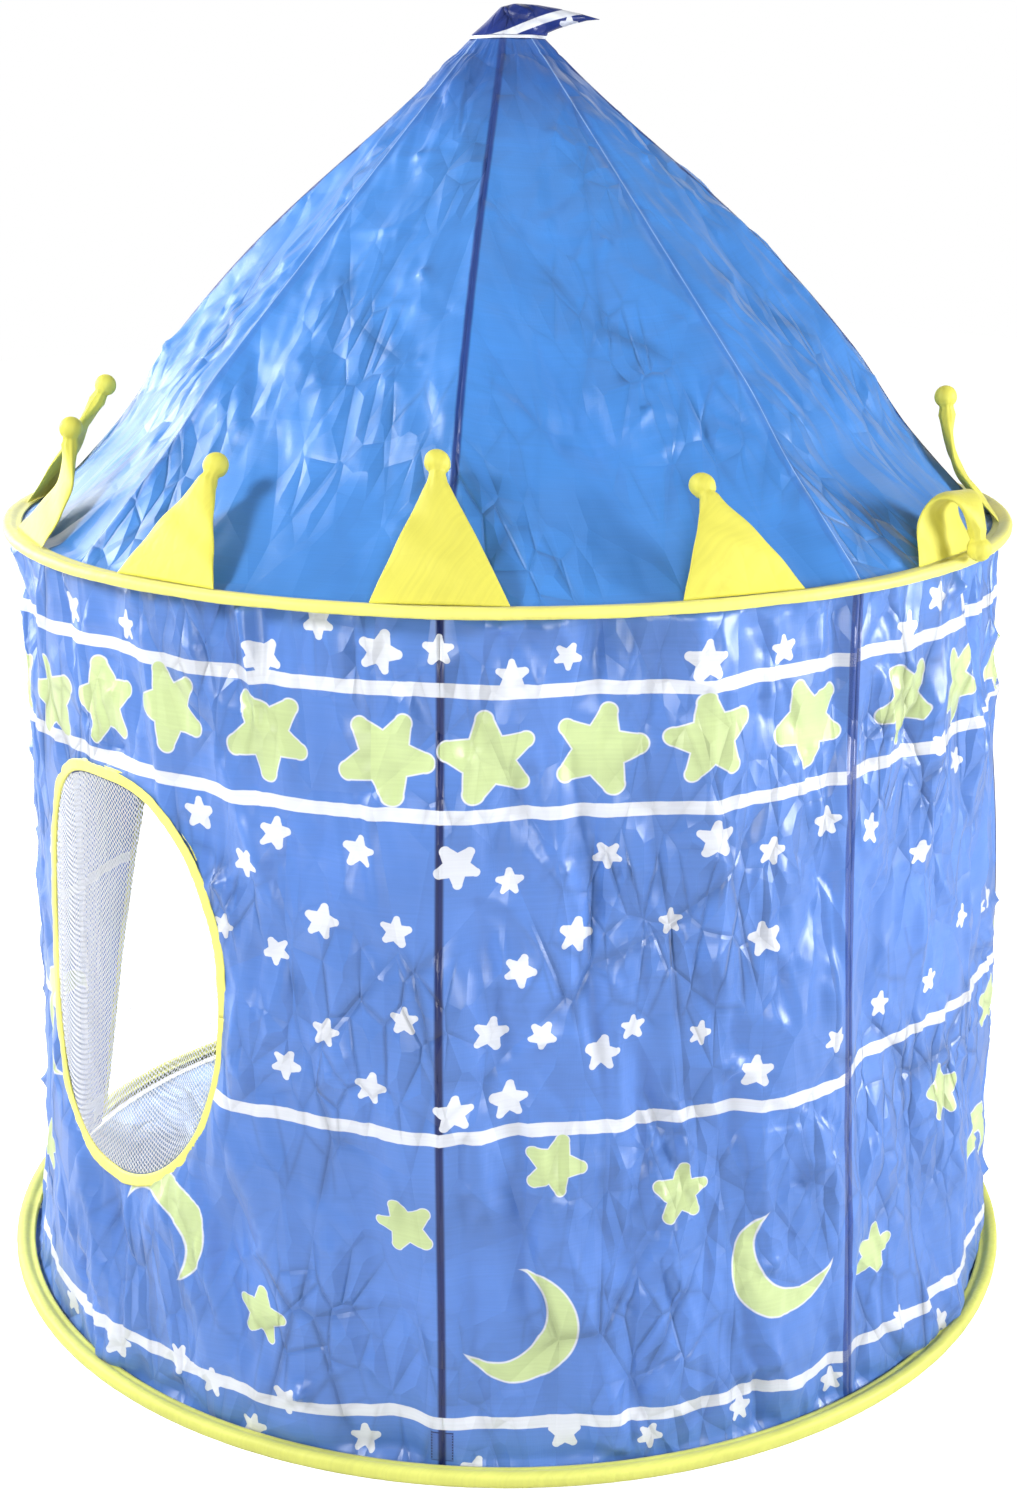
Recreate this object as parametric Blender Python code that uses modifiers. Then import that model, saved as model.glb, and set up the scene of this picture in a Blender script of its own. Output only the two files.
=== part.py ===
"""Kids' play tent: a round cloth castle tent on two wire hoops and four jointed rods.

The tent stands on the ground at z = 0 with its centre at the origin. Azimuth is counted in
degrees from the front (-Y, where the doorway is) towards +X. Lengths are in metres.

A cylinder wall of five printed panels hangs between the base hoop and the eave hoop. Eight gores
make the cone roof. Four wall rods stand in sleeves on the wall's seams, each in a foot pocket and
a moulded elbow, and four roof rods run from the elbows to a moulded hub under the apex. Twelve
stuffed crown points are caught in the eave seam, and each folds about its own stitch line.
"""

import math

import bmesh
import bpy
from mathutils import Matrix, Vector

# Cloth, thread gaps and running clearances
CLOTH = 0.0010
TAPE = 0.0008
GAP = 0.0003
ROD_SEAM_GAP = 0.0010
FLAT_SEAM_GAP = 0.0005

# Height of the eave seam, height of the cone's point, and the wall's radii
EAVE_HEIGHT = 0.8158
APEX_HEIGHT = 1.3150
WALL_TOP_RADIUS = 0.503
WALL_BASE_RADIUS = 0.540

# Binding tape, folded over the seam allowance and round the wire: its height, how far it
# reaches out from its mouth, and the mouth that pinches the cloth
EAVE_BINDING_HEIGHT = 0.009
EAVE_BINDING_REACH = 0.0195
BASE_BINDING_HEIGHT = 0.013
BASE_BINDING_REACH = 0.0199
MOUTH_SETBACK = 0.0025
MOUTH_FLAT = 0.0065
MOUTH_FLARE = 0.004
SEAM_ALLOWANCE = 0.006
HOOP_WIRE_RADIUS = 0.0015
HOOP_SIDES = 6
RING_STEPS = 60

# Rods, sleeves and moulded joints
ROD_RADIUS = 0.00425
SOCKET_RADIUS = 0.0063
SOCKET_CLEARANCE = 0.0003
SOCKET_DEPTH = 0.026
ELBOW_BEND_RADIUS = 0.022
ELBOW_BEND_STEPS = 5
SLEEVE_RADIUS = 0.0062
SLEEVE_CLOTH = 0.0009
SLEEVE_END_GAP = 0.002
ROD_DEPTH = 0.0072
ROD_STATIONS = 8
WALL_ROD_BOW = 0.018
ROOF_ROD_BOW = 0.018
ROD_FOOT_HEIGHT = 0.0195
POCKET_HEIGHT = 0.034
POCKET_FLOOR = 0.0015
POCKET_SIDES = 12
BORE_SIDES = 16
ROD_AZIMUTHS = (45.0, 135.0, 225.0, 315.0)

# Hub under the apex
HUB_RADIUS = 0.022
HUB_RIM = 0.010
HUB_WAIST_RADIUS = 0.012
HUB_DROP = 0.012
HUB_SOCKET_START = 0.016
HUB_SOCKET_REACH = 0.050
HUB_SIDES = 24

# Hanging cloth: panel edges, rows and the main folds
WALL_PANELS = (
    ("wall_front", -45.0, 45.0),
    ("wall_window", 45.0, 135.0),
    ("wall_back_a", 135.0, 180.0),
    ("wall_back_b", 180.0, 225.0),
    ("wall_side", 225.0, 315.0),
)
PANEL_STEP = 6.0
WALL_ROWS = 8
ROD_RIDGE_WIDTH = 0.062
FOLD_DEPTH = 0.0090
FOLD_CALM_WIDTH = 0.060
OPENING_CALM_WIDTH = 0.055
ROOF_GORES = 8
GORE_COLUMNS = 4
GORE_ROWS = 10
ROOF_TOP_RADIUS = 0.012
# How flat the gores are drawn between their seams, and how far up from the eave that takes
ROOF_FLAT_SHARE = 0.60
ROOF_FLAT_START_SHARE = 0.25
# Each wave of the folds: waves round the tent, drift with the rise, phase in radians, weight
WALL_FOLD_WAVES = ((8.0, 2.2, 0.6, 0.6), (14.0, -3.1, 1.9, 0.4))

# Doorway: a parabolic arch standing on the base binding
DOOR_HALF_WIDTH = 0.300
DOOR_HEIGHT = 0.740
DOOR_STATIONS = 30

# Oval window with a net
WINDOW_AZIMUTH = 94.2
WINDOW_HEIGHT = 0.4175
WINDOW_HALF_WIDTH = 0.142
WINDOW_HALF_HEIGHT = 0.197
WINDOW_STATIONS = 36
NET_PITCH = 0.036
NET_STRAND = 0.0016
NET_MIN_STRAND_RUN = 0.009

# Tape that binds the edges of doorway and window
EDGE_WEB = 0.007
EDGE_LAP = 0.005
EDGE_MOUTH_CLEARANCE = 0.0012
EDGE_CLEARANCE = 0.001
CUTTER_DROP = 0.020
# Where the cutters for the openings start and end, as shares of the wall's base radius
CUTTER_INNER_SHARE = 0.58
CUTTER_OUTER_SHARE = 1.30

# Crown points: stuffed cloth triangles with a gathered ball at the tip
CROWN_BASE_WIDTH = 0.120
CROWN_LENGTH = 0.132
CROWN_EDGE_THICKNESS = 0.003
CROWN_BODY_THICKNESS = 0.009
CROWN_NECK_RADIUS = 0.0085
CROWN_BALL_RADIUS = 0.0114
CROWN_SIDES = 8
CROWN_RING_CURL = 20.0
CROWN_SPINE_STEPS = 60
CURL_START_SHARE = 0.2
CURL_RUN_SHARE = 0.6
CROWN_BODY_SHARES = (0.0, 0.28, 0.60, 0.86)
# Rolled edge at the seam: how far back and how thick, as shares of half the edge's thickness
CROWN_ROLL_SHARES = (0.8, 0.6)
CROWN_BALL_SHARES = (-0.78, -0.30, 0.30, 0.75, 0.97)

# Each point as it stands: azimuth, rise of its root from level, curl towards the roof and
# sideways lean in degrees, and the share of its length that its crumples leave
CROWN_POINTS = (
    (15.0, 58.0, 6.0, -4.0, 0.97),
    (45.0, 58.0, 0.0, 0.0, 1.06),
    (75.0, 50.0, -35.0, 6.0, 0.90),
    (105.0, 60.0, 8.0, 3.0, 0.87),
    (135.0, 55.0, 0.0, -5.0, 1.00),
    (165.0, 67.0, 22.0, -7.0, 0.80),
    (195.0, 70.0, -190.0, 3.0, 0.98),
    (225.0, 48.0, -35.0, 0.0, 1.02),
    (255.0, 59.0, 6.0, 4.0, 0.95),
    (285.0, 56.0, 0.0, -3.0, 1.00),
    (315.0, 62.0, 10.0, 5.0, 0.95),
    (345.0, 56.0, 0.0, 3.0, 1.00),
)

# Cloth cap over the apex, flopped to one side
CAP_AZIMUTH = 231.5
CAP_SIDES = 14
CAP_NECK_RADIUS = 0.021
CAP_RADIUS = 0.037
CAP_HEIGHT = 0.024
CAP_TAIL = 0.092
CAP_SEAT_CLEARANCE = 0.0009

# Edges that bend more than this many degrees are shaded sharp
CREASE = 40.0
CAP_CREASE = 60.0

# Finishes: base colour, roughness, metallic
FINISHES = {
    "roof_cloth": ((0.10, 0.30, 0.74), 0.38, 0.0),
    "wall_cloth": ((0.06, 0.14, 0.50), 0.38, 0.0),
    "yellow_cloth": ((0.90, 0.86, 0.16), 0.45, 0.0),
    "base_tape": ((0.80, 0.80, 0.18), 0.50, 0.0),
    "floor_cloth": ((0.30, 0.52, 0.86), 0.45, 0.0),
    "white_net": ((0.86, 0.88, 0.92), 0.60, 0.0),
    "sleeve_cloth": ((0.03, 0.06, 0.26), 0.55, 0.0),
    "rod_plastic": ((0.05, 0.05, 0.06), 0.35, 0.0),
    "moulded_plastic": ((0.03, 0.03, 0.04), 0.40, 0.0),
    "spring_steel": ((0.42, 0.42, 0.44), 0.35, 1.0),
}


def lerp(start, end, share):
    """The value that lies a share of the way from start to end."""
    return start + (end - start) * share


def ease(share):
    """A smooth step from 0 to 1, level at both ends."""
    share = min(1.0, max(0.0, share))
    return share * share * (3.0 - 2.0 * share)


def out_from_axis(azimuth):
    """The level unit vector that points away from the tent's axis at an azimuth in degrees."""
    angle = math.radians(azimuth)
    return Vector((math.sin(angle), -math.cos(angle), 0.0))


def round_axis(azimuth):
    """The level unit vector along the wall at an azimuth, towards rising azimuth."""
    angle = math.radians(azimuth)
    return Vector((math.cos(angle), math.sin(angle), 0.0))


def place(radius, azimuth, height):
    """The point at a radius, an azimuth in degrees and a height."""
    point = out_from_axis(azimuth) * radius
    point.z = height
    return point


# Lines that follow from the driving dimensions
EAVE_MOUTH_RADIUS = WALL_TOP_RADIUS + MOUTH_SETBACK
BASE_MOUTH_RADIUS = WALL_BASE_RADIUS + MOUTH_SETBACK
EAVE_FLANGE_RADIUS = EAVE_MOUTH_RADIUS + SEAM_ALLOWANCE
BASE_FLANGE_RADIUS = BASE_MOUTH_RADIUS + SEAM_ALLOWANCE
EAVE_BINDING_RADIUS = EAVE_MOUTH_RADIUS + EAVE_BINDING_REACH
BASE_BINDING_RADIUS = BASE_MOUTH_RADIUS + BASE_BINDING_REACH
MOUTH_HALF_HEIGHT = CLOTH + 1.5 * GAP
WALL_TOP_HEIGHT = EAVE_HEIGHT - GAP / 2 - CLOTH
WALL_FOOT_HEIGHT = CLOTH + GAP + CLOTH
ROOF_FOOT_RADIUS = WALL_TOP_RADIUS + GAP
ROOF_FOOT_HEIGHT = EAVE_HEIGHT + GAP / 2 + CLOTH
ROOF_SLOPE = math.atan2(APEX_HEIGHT - ROOF_FOOT_HEIGHT, ROOF_FOOT_RADIUS)
ROOF_SLANT = math.hypot(APEX_HEIGHT - ROOF_FOOT_HEIGHT, ROOF_FOOT_RADIUS)
ROD_AXIS_DEPTH = CLOTH + ROD_DEPTH
BORE_RADIUS = ROD_RADIUS + SOCKET_CLEARANCE
FACET_MIDDLE_SHARE = math.cos(math.pi / RING_STEPS)

# The corner where the axes of a wall rod and a roof rod cross, as radius and height
CORNER_RADIUS = WALL_TOP_RADIUS - ROD_AXIS_DEPTH
CORNER_RUN = (
    ROOF_FOOT_RADIUS - ROD_AXIS_DEPTH * math.sin(ROOF_SLOPE) - CORNER_RADIUS
) / math.cos(ROOF_SLOPE)
CORNER_HEIGHT = (
    ROOF_FOOT_HEIGHT
    - ROD_AXIS_DEPTH * math.cos(ROOF_SLOPE)
    + CORNER_RUN * math.sin(ROOF_SLOPE)
)
HUB_MEETING_HEIGHT = APEX_HEIGHT - ROD_AXIS_DEPTH / math.cos(ROOF_SLOPE)
ROOF_ROD_LENGTH = CORNER_RADIUS / math.cos(ROOF_SLOPE)


def wall_smooth_radius(height):
    """Radius of the wall's outer face between the rods, wider towards the ground."""
    share = 1.0 - height / EAVE_HEIGHT
    return WALL_TOP_RADIUS + (WALL_BASE_RADIUS - WALL_TOP_RADIUS) * share * share


WALL_ROD_FOOT_RADIUS = wall_smooth_radius(ROD_FOOT_HEIGHT) - ROD_AXIS_DEPTH
WALL_ROD_RISE = CORNER_HEIGHT - ROD_FOOT_HEIGHT
WALL_ROD_LENGTH = math.hypot(WALL_ROD_RISE, WALL_ROD_FOOT_RADIUS - CORNER_RADIUS)
ELBOW_TURN = math.radians(90.0) - ROOF_SLOPE - math.atan2(
    WALL_ROD_FOOT_RADIUS - CORNER_RADIUS, WALL_ROD_RISE
)
ELBOW_TANGENT = ELBOW_BEND_RADIUS * math.tan(ELBOW_TURN / 2)
ELBOW_REACH = ELBOW_TANGENT + SOCKET_DEPTH


def bow(distance, start, end, depth):
    """Sideways bow of a rod: nothing in its two sockets, depth half way between them."""
    share = min(1.0, max(0.0, (distance - start) / (end - start)))
    return depth * math.sin(math.pi * share) ** 2


def wall_rod_radius(height):
    """Radius of a wall rod's axis at a height."""
    share = min(1.0, max(0.0, (height - ROD_FOOT_HEIGHT) / WALL_ROD_RISE))
    straight = lerp(WALL_ROD_FOOT_RADIUS, CORNER_RADIUS, share)
    run = share * WALL_ROD_LENGTH
    return straight + bow(run, POCKET_HEIGHT, WALL_ROD_LENGTH - ELBOW_REACH, WALL_ROD_BOW)


def wall_rod_point(azimuth, distance):
    """Point on a wall rod's axis, at a distance along it from the foot."""
    height = ROD_FOOT_HEIGHT + WALL_ROD_RISE * distance / WALL_ROD_LENGTH
    return place(wall_rod_radius(height), azimuth, height)


def roof_bow(share):
    """Outward bow of the roof at a share of the slant, the same as the roof rods' bow."""
    run = share * ROOF_SLANT - CORNER_RUN
    return bow(run, ELBOW_REACH, ROOF_ROD_LENGTH - HUB_SOCKET_REACH, ROOF_ROD_BOW)


def roof_normal(azimuth):
    """Unit vector square to the roof's cone, pointing out."""
    normal = out_from_axis(azimuth) * math.sin(ROOF_SLOPE)
    normal.z = math.cos(ROOF_SLOPE)
    return normal


def roof_cone_point(azimuth, share, lift):
    """Point a share of the way up the cone, moved out along the cone's normal by lift."""
    foot = place(ROOF_FOOT_RADIUS, azimuth, ROOF_FOOT_HEIGHT)
    apex = Vector((0.0, 0.0, APEX_HEIGHT))
    return foot.lerp(apex, share) + roof_normal(azimuth) * lift


def roof_rod_point(azimuth, distance):
    """Point on a roof rod's axis, at a distance along it from the corner."""
    share = (distance + CORNER_RUN) / ROOF_SLANT
    return roof_cone_point(azimuth, share, roof_bow(share) - ROD_AXIS_DEPTH)


def turn_between(azimuth, other):
    """Smallest angle between two azimuths, in degrees."""
    return abs((azimuth - other + 180.0) % 360.0 - 180.0)


def nearest_rod_turn(azimuth):
    """Angle from an azimuth to the nearest rod, in degrees."""
    return min(turn_between(azimuth, rod) for rod in ROD_AZIMUTHS)


def calm_share(azimuth, height):
    """0 at the rods and the bound openings, rising to 1 on the free cloth between them."""
    radius = wall_smooth_radius(height)
    rod_run = math.radians(nearest_rod_turn(azimuth)) * radius
    share = 1.0 - math.exp(-((rod_run / FOLD_CALM_WIDTH) ** 2))
    door_run = math.radians(turn_between(azimuth, 0.0)) * radius
    door_reach = math.hypot(
        door_run / (DOOR_HALF_WIDTH + OPENING_CALM_WIDTH),
        height / (DOOR_HEIGHT + OPENING_CALM_WIDTH),
    )
    share *= ease((door_reach - 1.0) * DOOR_HALF_WIDTH / FOLD_CALM_WIDTH)
    window_run = math.radians(turn_between(azimuth, WINDOW_AZIMUTH)) * radius
    window_reach = math.hypot(
        window_run / (WINDOW_HALF_WIDTH + OPENING_CALM_WIDTH),
        (height - WINDOW_HEIGHT) / (WINDOW_HALF_HEIGHT + OPENING_CALM_WIDTH),
    )
    return share * ease((window_reach - 1.0) * WINDOW_HALF_WIDTH / FOLD_CALM_WIDTH)


def fold_sum(waves, azimuth, rise):
    """Weighted sum of fold waves at an azimuth and a share of the cloth's height."""
    angle = math.radians(azimuth)
    return sum(
        weight * math.cos(count * angle + drift * rise + phase)
        for count, drift, phase, weight in waves
    )


def hem_swell(rise):
    """0 at both hems of a cloth, 1 half way between them."""
    return math.sin(math.pi * min(1.0, max(0.0, rise)))


def wall_fold(azimuth, height):
    """Depth of the wall's long folds, which run mostly up and down and fade at both hems."""
    rise = height / EAVE_HEIGHT
    depth = FOLD_DEPTH * hem_swell(rise) * calm_share(azimuth, height)
    return depth * fold_sum(WALL_FOLD_WAVES, azimuth, rise)


def wall_radius(azimuth, height):
    """Radius of the wall's outer face: hanging cloth, pushed out in a ridge by each rod."""
    smooth = wall_smooth_radius(height)
    over_rod = wall_rod_radius(height) + ROD_AXIS_DEPTH
    run = math.radians(nearest_rod_turn(azimuth)) * smooth
    ridge = max(0.0, over_rod - smooth) * math.exp(-run / ROD_RIDGE_WIDTH)
    return smooth + ridge + wall_fold(azimuth, height)


def roof_lift(azimuth, share):
    """How far the roof stands off its cone: up over the rods, nearly flat between the seams."""
    gore = 2.0 * math.pi / ROOF_GORES
    from_middle = math.radians(azimuth) % gore - gore / 2
    radius = ROOF_FOOT_RADIUS * (1.0 - share)
    chord = radius * (1.0 - math.cos(gore / 2) / math.cos(from_middle))
    start = min(1.0, max(0.0, share) / ROOF_FLAT_START_SHARE)
    flat = ROOF_FLAT_SHARE * math.sqrt(start * hem_swell(share))
    near_rod = 1.0 - math.radians(nearest_rod_turn(azimuth)) / gore
    return roof_bow(share) * near_rod - chord * flat / math.sin(ROOF_SLOPE)


def make_material(name):
    """Principled material for one finish."""
    colour, roughness, metallic = FINISHES[name]
    material = bpy.data.materials.new(name)
    material.use_nodes = True
    shader = material.node_tree.nodes["Principled BSDF"]
    shader.inputs["Base Color"].default_value = (*colour, 1.0)
    shader.inputs["Roughness"].default_value = roughness
    shader.inputs["Metallic"].default_value = metallic
    material.diffuse_color = (*colour, 1.0)
    return material


class Workshop:
    """Holds the tent's collections and finishes, and adds objects to them."""

    def __init__(self):
        self.parts = bpy.data.collections.new("kids_play_tent")
        self.cutters = bpy.data.collections.new("cutters")
        for collection in (self.parts, self.cutters):
            bpy.context.scene.collection.children.link(collection)
        self.finishes = {name: make_material(name) for name in FINISHES}

    def add(self, name, data, finish):
        """Link a mesh or curve as one named part of the tent."""
        part = bpy.data.objects.new(name, data)
        data.materials.append(self.finishes[finish])
        self.parts.objects.link(part)
        return part

    def add_cutter(self, name, data):
        """Link a mesh that only cuts other parts."""
        cutter = bpy.data.objects.new(name, data)
        cutter.hide_render = True
        cutter.display_type = "WIRE"
        self.cutters.objects.link(cutter)
        return cutter


def mesh_from(name, shape, crease=CREASE):
    """Turn a bmesh into a mesh with faces out, shaded smooth away from sharp edges."""
    bmesh.ops.recalc_face_normals(shape, faces=shape.faces)
    mesh = bpy.data.meshes.new(name)
    shape.to_mesh(mesh)
    shape.free()
    mesh.shade_smooth()
    mesh.set_sharp_from_angle(angle=math.radians(crease))
    return mesh


def solidify(part, thickness):
    """Give an open surface its cloth thickness, inwards from its outer face."""
    shell = part.modifiers.new("cloth", "SOLIDIFY")
    shell.thickness = thickness
    shell.offset = -1.0
    shell.use_even_offset = True
    return shell


def cut(part, cutter, operation="DIFFERENCE"):
    """Cut a part with, or join it to, another mesh object."""
    step = part.modifiers.new(cutter.name, "BOOLEAN")
    step.operation = operation
    step.object = cutter
    return step


def cloth_sheet(columns, rows, outer_point, inward):
    """Sheet of cloth as a closed shape.

    outer_point and inward each take a column and a row number: the first gives the point on
    the outer face, and the second the step from there to the inner face.
    """
    shape = bmesh.new()
    bmesh.ops.create_grid(shape, x_segments=columns, y_segments=rows, size=1.0)
    keys = {}
    for vertex in shape.verts:
        column = round((vertex.co.x + 1.0) / 2.0 * columns)
        row = round((vertex.co.y + 1.0) / 2.0 * rows)
        keys[vertex] = (column, row)
    for vertex, (column, row) in keys.items():
        vertex.co = outer_point(column, row)
    outer_faces = shape.faces[:]
    doubled = bmesh.ops.duplicate(shape, geom=shape.verts[:] + shape.edges[:] + outer_faces)
    twins = doubled["vert_map"]
    for vertex, (column, row) in keys.items():
        twins[vertex].co = vertex.co + inward(column, row)
    edge_pairs = [
        (edge, doubled["edge_map"][edge])
        for edge in shape.edges
        if edge.verts[0] in keys and edge.is_boundary
    ]
    for edge, twin in edge_pairs:
        start, end = edge.verts
        shape.faces.new((start, end, twins[end], twins[start]))
    return shape


def wall_profile():
    """Rows of the wall from base flange to eave flange: kind and height of each."""
    heights = [lerp(WALL_FOOT_HEIGHT, WALL_TOP_HEIGHT, i / WALL_ROWS) for i in range(WALL_ROWS + 1)]
    rows = [("base_flange", heights[0])]
    rows += [("foot", heights[0])]
    rows += [("hanging", height) for height in heights[1:-1]]
    rows += [("top", heights[-1]), ("eave_flange", heights[-1])]
    return rows


def build_wall_panel(workshop, name, start, end):
    """One printed wall panel between two seams, with the flanges that go into the bindings."""
    profile = wall_profile()
    columns = math.ceil((end - start) / PANEL_STEP)

    def seam_turn(azimuth):
        """Half the seam's gap as an angle: wider over a rod."""
        gap = ROD_SEAM_GAP if nearest_rod_turn(azimuth) < PANEL_STEP / 2 else FLAT_SEAM_GAP
        return math.degrees(gap / 2 / WALL_TOP_RADIUS)

    left = start + seam_turn(start)
    right = end - seam_turn(end)

    def outer_point(column, row):
        azimuth = lerp(left, right, column / columns)
        kind, height = profile[row]
        if kind == "base_flange":
            return place(BASE_FLANGE_RADIUS, azimuth, height)
        if kind == "eave_flange":
            return place(EAVE_FLANGE_RADIUS, azimuth, height)
        return place(wall_radius(azimuth, height), azimuth, height)

    def inward(column, row):
        azimuth = lerp(left, right, column / columns)
        kind = profile[row][0]
        step = Vector((0.0, 0.0, 0.0))
        if kind in ("foot", "hanging", "top"):
            step = -out_from_axis(azimuth) * CLOTH
        if kind in ("base_flange", "foot"):
            step.z = -CLOTH
        if kind in ("top", "eave_flange"):
            step.z = CLOTH
        return step

    shape = cloth_sheet(columns, len(profile) - 1, outer_point, inward)
    return workshop.add(name, mesh_from(name, shape), "wall_cloth")


def build_roof_gore(workshop, index):
    """One of the roof's gores, from the flange in the eave binding up to the apex."""
    turn = 360.0 / ROOF_GORES
    start = (index - 0.5) * turn - turn / 2
    top_share = 1.0 - ROOF_TOP_RADIUS / ROOF_FOOT_RADIUS
    rows = GORE_ROWS + 1

    def edge_turn(radius):
        """Half the seam's gap as an angle, at a radius."""
        return math.degrees(FLAT_SEAM_GAP / 2 / radius)

    def azimuth_at(column, share):
        margin = edge_turn(ROOF_FOOT_RADIUS * (1.0 - share))
        return lerp(start + margin, start + turn - margin, column / GORE_COLUMNS)

    def share_at(row):
        return top_share * max(0, row - 1) / GORE_ROWS

    def outer_point(column, row):
        share = share_at(row)
        azimuth = azimuth_at(column, share)
        if row == 0:
            return place(EAVE_FLANGE_RADIUS, azimuth, ROOF_FOOT_HEIGHT)
        return roof_cone_point(azimuth, share, roof_lift(azimuth, share))

    def inward(column, row):
        azimuth = azimuth_at(column, share_at(row))
        if row == 0:
            return Vector((0.0, 0.0, -CLOTH))
        if row == 1:
            step = -out_from_axis(azimuth) * CLOTH * math.tan(ROOF_SLOPE / 2)
            step.z = -CLOTH
            return step
        return -roof_normal(azimuth) * CLOTH

    shape = cloth_sheet(GORE_COLUMNS, rows, outer_point, inward)
    name = f"roof_gore_{index + 1}"
    return workshop.add(name, mesh_from(name, shape), "roof_cloth")


def turned_ring(workshop, name, outline, finish):
    """Turn a closed outline of (radius, height) points round the tent's axis."""
    shape = bmesh.new()
    corners = [shape.verts.new((radius, 0.0, height)) for radius, height in outline]
    for corner, following in zip(corners, corners[1:] + corners[:1]):
        shape.edges.new((corner, following))
    mesh = bpy.data.meshes.new(name)
    shape.to_mesh(mesh)
    shape.free()
    ring = workshop.add(name, mesh, finish)
    turn = ring.modifiers.new("turn", "SCREW")
    turn.axis = "Z"
    turn.steps = RING_STEPS
    turn.render_steps = RING_STEPS
    turn.use_merge_vertices = True
    turn.merge_threshold = GAP / 10
    turn.use_smooth_shade = False
    return ring


def build_bindings(workshop):
    """Yellow tape folded over the seam allowances, pinched at the mouth and open inwards."""
    flare_start = EAVE_MOUTH_RADIUS + MOUTH_FLAT
    flare_end = flare_start + MOUTH_FLARE
    half = EAVE_BINDING_HEIGHT / 2
    lip = MOUTH_HALF_HEIGHT + TAPE
    section = (
        (EAVE_MOUTH_RADIUS, lip),
        (flare_start, lip),
        (flare_end, half),
        (EAVE_BINDING_RADIUS, half),
        (EAVE_BINDING_RADIUS, -half),
        (flare_end, -half),
        (flare_start, -lip),
        (EAVE_MOUTH_RADIUS, -lip),
        (EAVE_MOUTH_RADIUS, -MOUTH_HALF_HEIGHT),
        (flare_start + TAPE, -MOUTH_HALF_HEIGHT),
        (EAVE_BINDING_RADIUS - TAPE, -half + TAPE),
        (EAVE_BINDING_RADIUS - TAPE, half - TAPE),
        (flare_start + TAPE, MOUTH_HALF_HEIGHT),
        (EAVE_MOUTH_RADIUS, MOUTH_HALF_HEIGHT),
    )
    eave = [(radius, EAVE_HEIGHT + height) for radius, height in section]
    turned_ring(workshop, "eave_binding", eave, "yellow_cloth")

    lip_low = WALL_FOOT_HEIGHT + GAP
    flare_start = BASE_MOUTH_RADIUS + MOUTH_FLAT
    flare_end = flare_start + MOUTH_FLARE
    base = (
        (BASE_MOUTH_RADIUS, lip_low + TAPE),
        (flare_start, lip_low + TAPE),
        (flare_end, BASE_BINDING_HEIGHT),
        (BASE_BINDING_RADIUS - MOUTH_FLARE / 2, BASE_BINDING_HEIGHT),
        (BASE_BINDING_RADIUS, BASE_BINDING_HEIGHT - MOUTH_FLARE / 2),
        (BASE_BINDING_RADIUS, 0.0),
        (BASE_MOUTH_RADIUS, 0.0),
        (BASE_MOUTH_RADIUS, TAPE),
        (BASE_BINDING_RADIUS - TAPE, TAPE),
        (BASE_BINDING_RADIUS - TAPE, BASE_BINDING_HEIGHT - MOUTH_FLARE / 2 - TAPE),
        (flare_end + TAPE, BASE_BINDING_HEIGHT - MOUTH_FLARE / 2 - TAPE),
        (flare_start + TAPE, lip_low),
        (BASE_MOUTH_RADIUS, lip_low),
    )
    turned_ring(workshop, "base_binding", base, "base_tape")


def build_hoops(workshop):
    """Two spring wire hoops, each against the outer wall of its binding."""
    for name, outer, height in (
        ("eave_hoop", EAVE_BINDING_RADIUS, EAVE_HEIGHT),
        ("base_hoop", BASE_BINDING_RADIUS, BASE_BINDING_HEIGHT / 2),
    ):
        centre = outer - TAPE - GAP - HOOP_WIRE_RADIUS
        outline = []
        for side in range(HOOP_SIDES):
            angle = math.radians(90.0 - side * 360.0 / HOOP_SIDES)
            outline.append((
                centre + HOOP_WIRE_RADIUS * math.cos(angle),
                height + HOOP_WIRE_RADIUS * math.sin(angle),
            ))
        turned_ring(workshop, name, outline, "spring_steel")


def build_floor(workshop):
    """Round floor cloth, flat on the ground inside the base binding."""
    shape = bmesh.new()
    radius = BASE_MOUTH_RADIUS - GAP
    bmesh.ops.create_cone(
        shape, cap_ends=True, segments=RING_STEPS, radius1=radius, radius2=radius, depth=CLOTH
    )
    turn = Matrix.Rotation(math.radians(90.0), 4, "Z")
    lift = Matrix.Translation((0.0, 0.0, CLOTH / 2))
    bmesh.ops.transform(shape, matrix=lift @ turn, verts=shape.verts)
    workshop.add("floor", mesh_from("floor", shape), "floor_cloth")


def tube(workshop, name, points, radius, finish, capped=True, sides_level=1):
    """Round tube along a polyline; a higher sides_level gives it more sides."""
    curve = bpy.data.curves.new(name, "CURVE")
    curve.dimensions = "3D"
    curve.bevel_depth = radius
    curve.bevel_resolution = sides_level
    curve.use_fill_caps = capped
    curve.twist_mode = "MINIMUM"
    spline = curve.splines.new("POLY")
    spline.points.add(len(points) - 1)
    for knot, point in zip(spline.points, points):
        knot.co = (*point, 1.0)
    spline.use_smooth = True
    return workshop.add(name, curve, finish)


def solid_from_curve(workshop, part, finish):
    """Replace a curve object by a welded mesh, so that it can be cut or joined."""
    depsgraph = bpy.context.evaluated_depsgraph_get()
    mesh = bpy.data.meshes.new_from_object(part.evaluated_get(depsgraph))
    shape = bmesh.new()
    shape.from_mesh(mesh)
    bmesh.ops.remove_doubles(shape, verts=shape.verts, dist=GAP / 10)
    bmesh.ops.recalc_face_normals(shape, faces=shape.faces)
    shape.to_mesh(mesh)
    shape.free()
    name = part.name
    matrix = part.matrix_world.copy()
    bpy.data.objects.remove(part)
    mesh.materials.clear()
    solid = workshop.add(name, mesh, finish)
    solid.matrix_world = matrix
    return solid


def rod_stations(start, end, count):
    """Evenly spread distances along a rod."""
    return [lerp(start, end, i / count) for i in range(count + 1)]


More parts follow.
